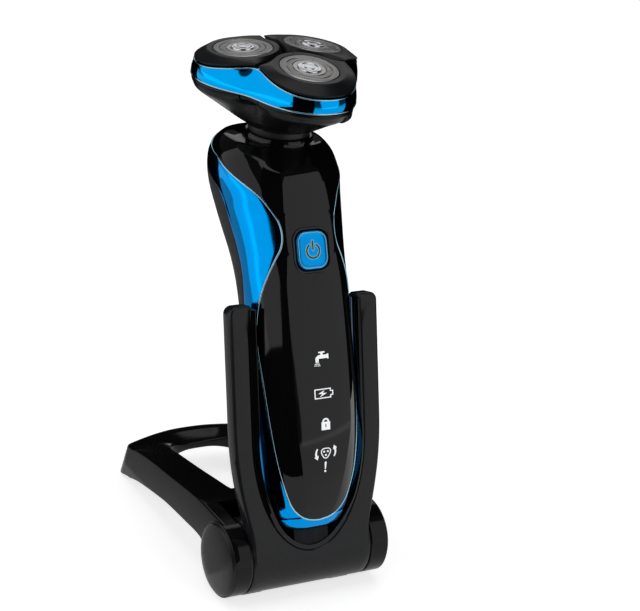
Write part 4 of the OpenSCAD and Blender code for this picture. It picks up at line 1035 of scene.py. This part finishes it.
# head with three cutters between turning arrows
space = symbol_space(28.9, 1.42)
t = np.radians(np.linspace(0, 360, 49)[:-1])
rim = 1.28 + 0.15 * np.cos(3 * (t - math.radians(90 + 180)))
mark_line(np.stack([rim * np.cos(t), rim * np.sin(t)], -1), 0.24, closed=True)
for a in (270, 30, 150):
    mark(arc(0.62 * math.cos(math.radians(a)), 0.62 * math.sin(math.radians(a)), 0.27, 0, 330, 12))
for sign in (1, -1):
    q = sign * arc(0.75, 0, 2.05, -36, 22, 14)
    mark_line(q, np.linspace(0.34, 0.52, 14))
    ahead = unit_length(q[-1] - q[-2])
    aside = np.array([-ahead[1], ahead[0]])
    mark([q[-1] + aside * -0.62, q[-1] + ahead * 1.0, q[-1] + aside * 0.62])
# exclamation sign
space = symbol_space(23.6, 1.05)
mark([(-0.17, -0.75), (0.17, -0.75), (0.36, 1.7), (0, 1.95), (-0.36, 1.7)], arc(0, -1.45, 0.38, 0, 337, 16))
add("lit_symbols", *merge(*marks), "handle", "lamp_clear", M["lamp"], 60)

# ---------------------------------------------------------------- neck
collar = [(12.62, -10.4), (12.66, -4.2), (12.6, -3.4), (12.35, -2.75), (11.9, -2.45), (11.3, -2.4),
          (10.95, -2.7)]
inner = [(math.sqrt(max(0.1, 11.95**2 - z * z)), z) for z in (-3.4, -5, -7, -9, -10.4)]
add("neck_ring", *put(lathe(collar + inner, 128), in_pivot), "handle", "black_matte", M["gloss"], 35,
    ["neck_collar"])

# ---------------------------------------------------------------- head outline
# Blend of the three lobes: at the band's lower edge, at its upper edge and the pads, and on the chamber
LOW_BLEND, HIGH_BLEND, CHAMBER_BLEND = 2.6, 4.4, 3.2
BAND_WAVE = 4.2
# Distance from the band's edges to its bright lines' middles
LOW_GAP, HIGH_GAP = 0.56, 0.5


def lobe_ray(t, r):
    s, c = np.sin(np.radians(t)), np.cos(np.radians(t))
    return np.maximum(0, PITCH_R * c + np.sqrt(np.maximum(0, r * r - (PITCH_R * s) ** 2)))


def lobes(t, r, blend=HIGH_BLEND):
    """Distance from the head's axis to its outline of three lobes of radius r."""
    t = np.asarray(t, float)
    return sum(lobe_ray(t - a, r) ** blend for a in (-90, 30, 150)) ** (1 / blend)


def band_top(t):
    return BAND_HIGH + BAND_WAVE * ((1 - np.cos(np.radians(3 * (np.asarray(t, float) + 90)))) / 2) ** 1.5


HT = np.linspace(0, 360, 217)[:-1]


def head_loop(r, z, o, blend):
    return polar(lobes(HT, r, blend) + o, np.radians(HT), z)


def band_loop(t, o):
    """Loop of the band at the share t of its height, moved out by o."""
    z = (BAND_LOW + LOW_GAP) * (1 - t) + (wave - HIGH_GAP) * t
    return head_loop(LOBE_R * (1 - t) + BAND_R * t, z, o, LOW_BLEND + (HIGH_BLEND - LOW_BLEND) * t**2.5)


# blue band, slightly swollen between its two bright lines
wave = band_top(HT)
loops = []
for t in np.linspace(0, 1, 15):
    bulge = 0.30 * math.sin(math.pi * min(1, t * 1.05)) ** 0.8 if 0 < t < 1 else 0.0
    loops.append(band_loop(t, bulge - 0.02))
loops += [band_loop(t, -BAND_T) for t in (1, 0.5, 0)]
band = add("head_band_blue", *put(loft(loops, ring=True), in_head), "shaving_head", "band_metallised",
           M["band"], 40, ["head_band"])
slot_box = [(-3.2, 18), (3.2, 18), (3.2, 30), (-3.2, 30)]
slot_part = prism(slot_box, BAND_LOW - 1, BAND_LOW + 1.9, in_head)
cut(band, slot_part, smooth=35)
LOW_LINE = [(0, 0.0), (0.08, 0.1), (0.3, 0.16), (0.48, 0.1), (0.54, 0.0), (0.54, -BAND_T), (0, -BAND_T)]
loops = [head_loop(LOBE_R, BAND_LOW + dz, o, LOW_BLEND) for dz, o in LOW_LINE]
low_line = add("band_line_low", *put(loft(loops, ring=True), in_head), "shaving_head", "black_gloss",
               M["trim"], 50, ["lower_trim"])
cut(low_line, slot_part, smooth=50)
TOP_LINE = [(-0.5, -0.02), (-0.42, 0.10), (-0.24, 0.16), (-0.06, 0.06), (0.01, -0.14), (0.02, -0.4),
            (-0.02, -BAND_T), (-0.5, -BAND_T)]
loops = [head_loop(BAND_R, wave + dz, o, HIGH_BLEND) for dz, o in TOP_LINE]
add("band_line_top", *put(loft(loops, ring=True), in_head), "shaving_head", "bright_trim", M["trim"], 50,
    ["upper_trim"])

# ---------------------------------------------------------------- hair chamber
CH_ROWS = [[-26.48, 12.3, 1.0, 12.3], [-25.0, 15.5, 0.86, 12.6], [-22.0, 15.5, 0.6, 13.3],
           [-18.5, 15.5, 0.28, 13.3], [-15.5, 15.5, 0.0, 13.3], [-13.6, 16.7, 0.0, 13.3],
           [-12.6, 17.2, 0.0, 13.3], [-11.35, 17.3, 0.0, 13.3]]


def chamber_q(t, z, o=0.0):
    """Distance from the head's axis to the chamber, with the boss that holds the release tab."""
    r, k, round_r = (curve(CH_ROWS, z, i) for i in (1, 2, 3))
    q = lobes(t, r, CHAMBER_BLEND)
    boss = 1.9 * np.exp(-((np.asarray(t, float) + 62) / 17) ** 2)
    boss = boss * ease((-12.4 - z) / 4.5) * ease((z + 24.2) / 3.2)
    return (q + o) * (1 - k) + (round_r + o) * k + boss


def chamber_point(t, z, o=0.0):
    """Point of the chamber at the angle t and the height z, moved out by o."""
    t, z = np.broadcast_arrays(np.asarray(t, float), np.asarray(z, float))
    return polar(chamber_q(t, z, o), np.radians(t), z)


zs = np.concatenate([[-26.48, -26.3], np.linspace(-26, -12, 34), [-11.7, -11.45, -11.36]])
offs = [-0.25] + [0.0] * (len(zs) - 3) + [-0.1, -0.35]
loops = [chamber_point(HT, z, o) for z, o in zip(zs, offs)]
loops += [chamber_point(HT, z, -1.5) for z in (-11.4, -12.6, -15.5, -18.5, -22, -24.2)]
loops.append(chamber_point(HT, -24.6, -6.5))
start = loops[0] * [0.27, 0.27, 1]
part = loft([start] + loops + [start + [0, 0, 1.88]], ring=True)
chamber = add("hair_chamber_shell", *put(part, in_head), "head_base", "black_matte", M["chamber"], 32,
              ["hair_chamber"])
TAB_TURN, TAB_LEVEL, TAB_GAP = math.radians(-45), -14.6, 0.12
SLIT_ANGLE, SLIT_HALF = -150.0, 0.28


def at_tab(p):
    """Outwards, across and up from the tab's place, into the head."""
    return in_head(turn_z(np.asarray(p, float), TAB_TURN) + [0, -PITCH_R, TAB_LEVEL])


def at_slits(p):
    return in_head(turn_z(p, math.radians(SLIT_ANGLE)))


cuts = [prism([(12.9, -3.8), (22, -3.8), (22, 3.8), (12.9, 3.8)], -2.0, 2.0, at_tab)]
q = float(chamber_q(np.array(SLIT_ANGLE), np.array(-13.0)))
for across in (-3.9, 3.9):
    slit = [(q - 2.0, across - SLIT_HALF), (q + 4, across - SLIT_HALF), (q + 4, across + SLIT_HALF),
            (q - 2.0, across + SLIT_HALF)]
    cuts.append(prism(slit, -14.9, -10.8, at_slits))
cut(chamber, *cuts, smooth=32)


def knuckles(x0, x1):
    """Hinge eye from x0 to x1 at the rear of the chamber."""
    return put(put(lathe([(0.95, x0), (1.65, x0), (1.8, x0 + 0.15), (1.8, x1 - 0.15), (1.65, x1),
                          (0.95, x1)], 40), along_x), lambda p: in_head(np.asarray(p) + [0, 26.9, -11.2]))


hinge_half = merge(knuckles(3.3, 6.0),
                   prism([(3.3, 20.4), (6.0, 20.4), (6.0, 26.9), (3.3, 26.9)], -13.25, -11.36, in_head))
for part in (hinge_half, mirror_x(hinge_half)):
    join(chamber, part, 32)


def halved(lo, hi, is_inside):
    """Largest value between lo and hi that lies inside, found by halving."""
    for _ in range(40):
        mid = (lo + hi) / 2
        inside = is_inside(mid)
        lo, hi = np.where(inside, mid, lo), np.where(inside, hi, mid)
    return lo


# release tab, its face follows the chamber
def tab_surface(w, z):
    """Distance outwards of the tab's face, at w across and z up."""
    def is_inside(mid):
        p = turn_z(np.array([float(mid), w, 0.0]), TAB_TURN) + [0, -PITCH_R, z]
        t = np.array(math.degrees(math.atan2(p[1], p[0])))
        return math.hypot(p[0], p[1]) < float(chamber_q(t, np.array(z), TAB_GAP))

    return float(halved(10.0, 22.0, is_inside))


zz = edged(-16.25, -12.95, 8, 0.3)
ww = edged(-3.5, 3.5, 11, 0.35)
outer = np.array([[[tab_surface(w, z), w, z - TAB_LEVEL] for w in ww] for z in zz])
inner = outer.copy()
inner[..., 0] = 13.0
tab = patch_solid(outer, inner, 0.22)
add("release_tab_face", *put(tab, at_tab), "release", "button_grey", M["matte"], 35, ["release_tab"])

# ---------------------------------------------------------------- shaving units
PAD_N = 192
PP = 360 * np.arange(PAD_N) / PAD_N
GROOVE = 1.3


def around(m):
    """Points at the distance m from a unit's axis, in the head's plane."""
    return PITCH_R + m * np.cos(np.radians(PP)), m * np.sin(np.radians(PP))


def inside_outline(m):
    x, y = around(m)
    return np.hypot(x, y) < lobes(np.degrees(np.arctan2(y, x)) - 90, BAND_R)


def groove_d(p, g=GROOVE):
    """Distance from a unit's axis to the grooves between it and its neighbours."""
    toward = np.maximum(np.cos(np.radians(p - 150)), np.cos(np.radians(p + 150)))
    return (PITCH_R * math.sin(math.radians(60)) - g / 2) / np.maximum(0.05, toward)


PAD_REACH = halved(np.full(PAD_N, 8.0), np.full(PAD_N, 30.0), inside_outline)


def soft_min(a, b, k=0.35):
    """Smaller of two distances, with the corner between them rounded by about k."""
    h = np.clip(0.5 + 0.5 * (b - a) / k, 0, 1)
    return b * (1 - h) + a * h - k * h * (1 - h)


def pad_edge(o=0.0, g=GROOVE):
    """Distance of the pad's edge from its axis, where the outline or the groove to the next pad ends it."""
    return soft_min(PAD_REACH + o, groove_d(PP, g))


x, y = around(pad_edge())
PAD_Z = band_top(np.degrees(np.arctan2(y, x)) - 90) + 0.6
PAD_TOP_R = 12.9


def pad_loop(k, dz, o=0.0, g=GROOVE):
    """Loop at the share k of the way from the pad's edge to its middle."""
    e = pad_edge(o, g)
    m = e + (PAD_TOP_R - e) * k
    x, y = m * np.cos(np.radians(PP)), m * np.sin(np.radians(PP))
    z = (PAD_Z + 0.5) * (1 - k) - math.tan(DOME) * x * k + dz
    return np.stack([x, y, z], -1)


def tilted_loop(r, z):
    return turn_y(polar(r, np.radians(PP), z), DOME)


def ribs_tree():
    """Node tree: thin radial bars set round a circle, added to the piece it is used on."""
    tree = bpy.data.node_groups.new("radial_bars", "GeometryNodeTree")
    face = tree.interface
    face.new_socket("Geometry", in_out="INPUT", socket_type="NodeSocketGeometry")
    for name, kind, value in (("Bars", "NodeSocketInt", 90), ("Circle radius", "NodeSocketFloat", 0.009),
                              ("Bar length", "NodeSocketFloat", 0.0018),
                              ("Bar width", "NodeSocketFloat", 0.0003),
                              ("Bar height", "NodeSocketFloat", 0.0003), ("Level", "NodeSocketFloat", 0.0),
                              ("Slant", "NodeSocketFloat", 0.0),
                              ("Bar material", "NodeSocketMaterial", None)):
        made = face.new_socket(name, in_out="INPUT", socket_type=kind)
        if value is not None:
            made.default_value = value
    face.new_socket("Geometry", in_out="OUTPUT", socket_type="NodeSocketGeometry")
    given = tree.nodes.new("NodeGroupInput").outputs

    def feed(kind, inputs=(), **settings):
        return add_node(tree, kind, inputs, **settings).outputs[0]

    circle = feed("GeometryNodeMeshCircle", {"Vertices": given["Bars"], "Radius": given["Circle radius"]})
    size = feed("ShaderNodeCombineXYZ", {0: given["Bar length"], 1: given["Bar width"],
                                         2: given["Bar height"]})
    cube = feed("GeometryNodeMeshCube", {"Size": size})
    share = feed("ShaderNodeMath", {0: feed("GeometryNodeInputIndex"), 1: given["Bars"]}, operation="DIVIDE")
    angle = feed("ShaderNodeMath", {0: share, 1: 2 * math.pi, 2: given["Slant"]}, operation="MULTIPLY_ADD")
    turn = feed("ShaderNodeCombineXYZ", {2: angle})
    bars = feed("GeometryNodeInstanceOnPoints", {"Points": circle, "Instance": cube, "Rotation": turn})
    lift = feed("ShaderNodeCombineXYZ", {2: given["Level"]})
    moved = feed("GeometryNodeTransform", {0: feed("GeometryNodeRealizeInstances", {0: bars}),
                                           "Translation": lift})
    painted = feed("GeometryNodeSetMaterial", {"Geometry": moved, "Material": given["Bar material"]})
    both = add_node(tree, "GeometryNodeJoinGeometry", {0: given["Geometry"]})
    tree.links.new(painted, both.inputs[0])
    add_node(tree, "NodeGroupOutput", {0: both.outputs[0]})
    return tree


BARS = ribs_tree()


def with_bars(ob, mat, sets):
    """The sets of radial bars added to the object's mesh."""
    for values in sets:
        mod = ob.modifiers.new("bars", "NODES")
        mod.node_group = BARS
        values = dict(values, **{"Bar material": mat})
        for item in BARS.interface.items_tree:
            if item.item_type == "SOCKET" and item.in_out == "INPUT" and item.name in values:
                mod[item.identifier] = values[item.name]
    bake(ob, 30)


CAP = [(4.3, -0.6), (9.7, -0.6), (9.7, -3.1), (10.62, -3.1), (10.68, -2.9), (10.68, -0.35), (10.6, -0.12),
       (10.42, 0.02), (10.3, 0.05), (10.24, 0.02), (10.2, -0.25), (8.62, -0.25), (8.56, 0.05), (8.46, 0.09),
       (8.40, 0.02), (8.36, -0.4), (8.16, -0.4), (8.12, 0.02), (8.06, 0.08), (7.98, 0.04), (7.94, -0.25),
       (6.42, -0.25), (6.38, 0.04), (6.30, 0.08), (6.22, 0.03), (6.18, -0.4), (5.92, -0.4), (5.88, 0.03),
       (5.8, 0.1), (5.3, 0.14), (4.5, 0.14), (4.36, 0.08), (4.3, -0.05)]
DISC = [(4.2, -0.7), (4.2, 0.34), (4.12, 0.48), (3.95, 0.56), (3.6, 0.6), (3.2, 0.56), (3.05, 0.46),
        (2.9, 0.40), (2.2, 0.40), (2.05, 0.44), (1.85, 0.56), (1.5, 0.62), (0.9, 0.64), (0.25, 0.65)]
# The two rings of bars in a cap: how many, the circle's radius, the bars' length and their level
BAR_RINGS = [(100, 9.42, 1.62, -0.10), (76, 7.19, 1.56, -0.11)]
BAR_WIDTH, BAR_HEIGHT, BAR_SLANT = 0.30, 0.26, 0.10
PAD_WALL, PAD_RIM, WIDER = 2.2, 0.12, GROOVE + 0.3
bar_sets = [{"Bars": count, "Circle radius": radius * MM, "Bar length": length * MM,
             "Bar width": BAR_WIDTH * MM, "Bar height": BAR_HEIGHT * MM, "Level": level * MM,
             "Slant": BAR_SLANT} for count, radius, length, level in BAR_RINGS]
# Dark rings under the two rows of slots: painted shade where the blades lie in shadow beneath
slot_shade_rings = merge(*(lathe([(lo, -0.24), (hi, -0.24), (hi, -0.215), (lo, -0.215)], 96)
                 for lo, hi in ((6.44, 7.93), (8.64, 10.19))))
loops = [pad_loop(0, -3.6, -PAD_WALL), pad_loop(0, -1.0, -PAD_WALL), pad_loop(0, -0.62, -1.9),
         pad_loop(0, -0.5, -0.3), pad_loop(0, -0.38, -0.06), pad_loop(0, -0.12, 0.0),
         pad_loop(0, 0.0, -0.06, GROOVE + 0.12)]
for k, dz in ((0.02, 0.10), (0.08, 0.16), (0.3, 0.2), (0.6, 0.2), (0.85, 0.14), (0.96, 0.08), (1.0, 0.0),
              (1.03, -0.02)):
    loops.append(pad_loop(k, dz, -PAD_RIM, WIDER))
for r, z in ((12.2, 0.0), (11.4, 0.0), (11.0, -0.04), (10.88, -0.2), (10.84, -3.6)):
    loops.append(tilted_loop(r, z))
pad = loft(loops, ring=True)
for name, angle in ANGLES.items():
    def unit(p, a=angle):
        return in_unit(p, a)

    def flat(p, a=angle):
        return in_tilted_unit(p, a)

    body = f"{name}_unit"
    add(f"{name}_pad_shape", *put(pad, unit), body, "pad_satin", M["pad"], 26, [f"{name}_pad"])
    cap_ob = add(f"{name}_cap", *lathe(CAP, 144), body, "cap_steel", M["steel"], 30, [f"{name}_shaving_cap"])
    with_bars(cap_ob, M["steel"], bar_sets)
    # the dark rings under the slots are painted shade, not a part of the cap
    add(f"{name}_cap_slot_shade", *put(slot_shade_rings, flat), body, "black_matte", M["matte"], 60)
    co = np.empty(len(cap_ob.data.vertices) * 3)
    cap_ob.data.vertices.foreach_get("co", co)
    cap_ob.data.vertices.foreach_set("co", (flat(co.reshape(-1, 3) / MM) * MM).ravel())
    cap_ob.data.update()
    sharpen(cap_ob.data, 30)
    add(f"{name}_disc", *put(lathe(DISC, 96, ring=False), flat), body, "steel", M["disc"], 35,
        [f"{name}_cap_disc"])

# ---------------------------------------------------------------- studio
scene = bpy.context.scene
CAMERA_RIGHT = (0.873708, -0.470529, 0.123441)
CAMERA_UP = (0.101582, 0.424641, 0.899645)
CAMERA_BACK = (-0.475727, -0.773487, 0.418809)
CAMERA_PLACE = (-329.4995, -530.0897 + AXIS_Y, 387.3432 + AXIS_Z)
FOCAL_LENGTH, SENSOR = 109.4875, 36

camera = bpy.data.objects.new("camera", bpy.data.cameras.new("camera"))
scene.collection.objects.link(camera)
axes = (CAMERA_RIGHT, CAMERA_UP, CAMERA_BACK, Vector(CAMERA_PLACE) * MM)
camera.matrix_world = Matrix([[axis[k] for axis in axes] for k in range(3)] + [[0, 0, 0, 1]])
camera.data.lens = FOCAL_LENGTH
camera.data.sensor_width = SENSOR
camera.data.sensor_fit = "HORIZONTAL"
camera.data.clip_start = 0.01
camera.data.clip_end = 20
scene.camera = camera


def stage_mesh(name, verts, faces, mat):
    """A stage object: the floor, or a card that stands round the part."""
    made = bpy.data.meshes.new(name)
    made.from_pydata(verts, [], faces)
    made.materials.append(mat)
    ob = bpy.data.objects.new(name, made)
    scene.collection.objects.link(ob)
    ob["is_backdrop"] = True
    return ob


# The floor also glows a little, for the camera and in the part's reflections
FLOOR_COLOUR, FLOOR_SEEN, FLOOR_MIRRORED, FLOOR_HALF = 0.82, 0.72, 0.38, 6
floor_mat = bpy.data.materials.new("floor")
floor_mat.use_nodes = True
tree = floor_mat.node_tree
tree.nodes.clear()
ray = add_node(tree, "ShaderNodeLightPath").outputs


def reckoned(operation, a, b):
    return add_node(tree, "ShaderNodeMath", {0: a, 1: b}, operation=operation).outputs[0]


mirrored = reckoned("MAXIMUM", ray["Is Glossy Ray"], ray["Is Transmission Ray"])
glow = reckoned("ADD", reckoned("MULTIPLY", ray["Is Camera Ray"], FLOOR_SEEN),
                reckoned("MULTIPLY", mirrored, FLOOR_MIRRORED))
paint = add_node(tree, "ShaderNodeBsdfDiffuse", {"Color": (FLOOR_COLOUR, FLOOR_COLOUR, FLOOR_COLOUR, 1)})
light = add_node(tree, "ShaderNodeEmission", {"Strength": glow})
both = add_node(tree, "ShaderNodeAddShader", {0: paint.outputs[0], 1: light.outputs[0]})
add_node(tree, "ShaderNodeOutputMaterial", {0: both.outputs[0]})
corners = [(x * FLOOR_HALF, y * FLOOR_HALF, 0) for x, y in ((-1, -1), (1, -1), (1, 1), (-1, 1))]
stage_mesh("floor", corners, [(0, 1, 2, 3)], floor_mat)


def softbox(name, az, el, distance, w, h, radiance, roll=0.0, aim=(0.0, -0.01, 0.10)):
    """Area light at an azimuth (0 before the part, 90 left of it as seen from there) and an elevation."""
    lamp = bpy.data.lights.new(name, "AREA")
    lamp.shape, lamp.size, lamp.size_y = "RECTANGLE", w, h
    lamp.energy = radiance * math.pi * w * h
    ob = bpy.data.objects.new(name, lamp)
    scene.collection.objects.link(ob)
    a, e = math.radians(az), math.radians(el)
    d = Vector((-math.sin(a) * math.cos(e), -math.cos(a) * math.cos(e), math.sin(e)))
    side = d.cross(Vector((0, 0, 1))).normalized()
    up = side.cross(d)
    c, n = math.cos(math.radians(roll)), math.sin(math.radians(roll))
    x, y = -side * c + up * n, side * n + up * c
    ob.location = Vector(aim) + d * distance
    ob.rotation_mode = "QUATERNION"
    ob.rotation_quaternion = Matrix((x, y, d)).transposed().to_quaternion()
    ob.visible_camera = False
    return ob


def card_material(name, **values):
    """Black, and unlike the part's materials without a highlight."""
    made = bpy.data.materials.new(name)
    made.use_nodes = True
    inputs = made.node_tree.nodes["Principled BSDF"].inputs
    inputs["Base Color"].default_value = (0.002, 0.002, 0.002, 1)
    inputs["Specular IOR Level"].default_value = 0.0
    for key, value in values.items():
        inputs[key.replace("_", " ")].default_value = value
    return made


def card(name, verts, faces, mat):
    """A card that only reflections see."""
    ob = stage_mesh(name, verts, faces, mat)
    ob.visible_camera = ob.visible_shadow = ob.visible_diffuse = False


def flag(name, az_from, az_to, radius, rows, n=16):
    """Black card standing round the part; rows give its top edge against azimuth."""
    verts, faces = [], []
    for k in range(n + 1):
        az = az_from + (az_to - az_from) * k / n
        a = math.radians(az)
        for z in (0.001, float(curve(rows, az))):
            verts.append((-math.sin(a) * radius, -math.cos(a) * radius, z))
        if k:
            q = 2 * k
            faces.append((q - 2, q, q + 1, q - 1))
    card(name, verts, faces, flag_mat)


NEAR, FAR = 0.19, 0.26
DIM_CARD = [(-0.34, -0.03, 0.0004), (-0.036, -0.03, 0.0004), (-0.036, 0.34, 0.0004), (-0.34, 0.34, 0.0004)]
ARM_CARD = [(-0.0299, -0.068, 0.022), (-0.0299, -0.051, 0.022), (-0.0299, -0.034, 0.078),
            (-0.0299, -0.050, 0.078)]
flag_mat = card_material("flag", Roughness=0.9)
flag("flag_front", 8, 53, NEAR, [[0, 0.55], [60, 0.55]])
flag("flag_left", 53, 112, FAR, [[53, 0.132], [70, 0.099], [90, 0.052], [112, 0.006]])
flag("flag_right", -68, -150, FAR, [[-150, 0.2], [-126, 0.2], [-112, 0.5], [-60, 0.5]])
flag("flag_back", 141, 210, FAR, [[141, 0.21], [210, 0.21]])
card("arm_card", ARM_CARD, [(0, 1, 2, 3)], flag_mat)
dim = card_material("dim_card", Emission_Color=(1, 1, 1, 1), Emission_Strength=0.36)
card("dim_card", DIM_CARD, [(0, 1, 2, 3)], dim)
softbox("front_box", -30, 20, 1.4, 1.15, 1.7, 0.78)
softbox("left_box", 98, 20, 1.0, 1.8, 1.15, 0.82, roll=-25)
softbox("rear_box", 212, 28, 1.5, 1.3, 0.7, 0.75, aim=(0.0, -0.02, 0.18))
softbox("top_box", 0, 89.5, 1.8, 1.5, 1.5, 1.2)

# The surroundings are white for the camera and nearly dark for everything else
WORLD_SEEN, WORLD_REST = 0.95, 0.05
world = bpy.data.worlds.new("world")
scene.world = world
world.use_nodes = True
tree = world.node_tree
ray = add_node(tree, "ShaderNodeLightPath").outputs
strength = add_node(tree, "ShaderNodeMath", {0: ray["Is Camera Ray"], 1: WORLD_SEEN, 2: WORLD_REST},
                    operation="MULTIPLY_ADD")
tree.nodes["Background"].inputs["Color"].default_value = (0.9, 0.95, 1.0, 1)
tree.links.new(strength.outputs[0], tree.nodes["Background"].inputs["Strength"])
scene.view_settings.view_transform = "Standard"

for label, b in (("cad", CAD_BOX), ("visual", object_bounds())):
    values = [list(map(float, v)) if hasattr(v, "__len__") else float(v) for v in b]
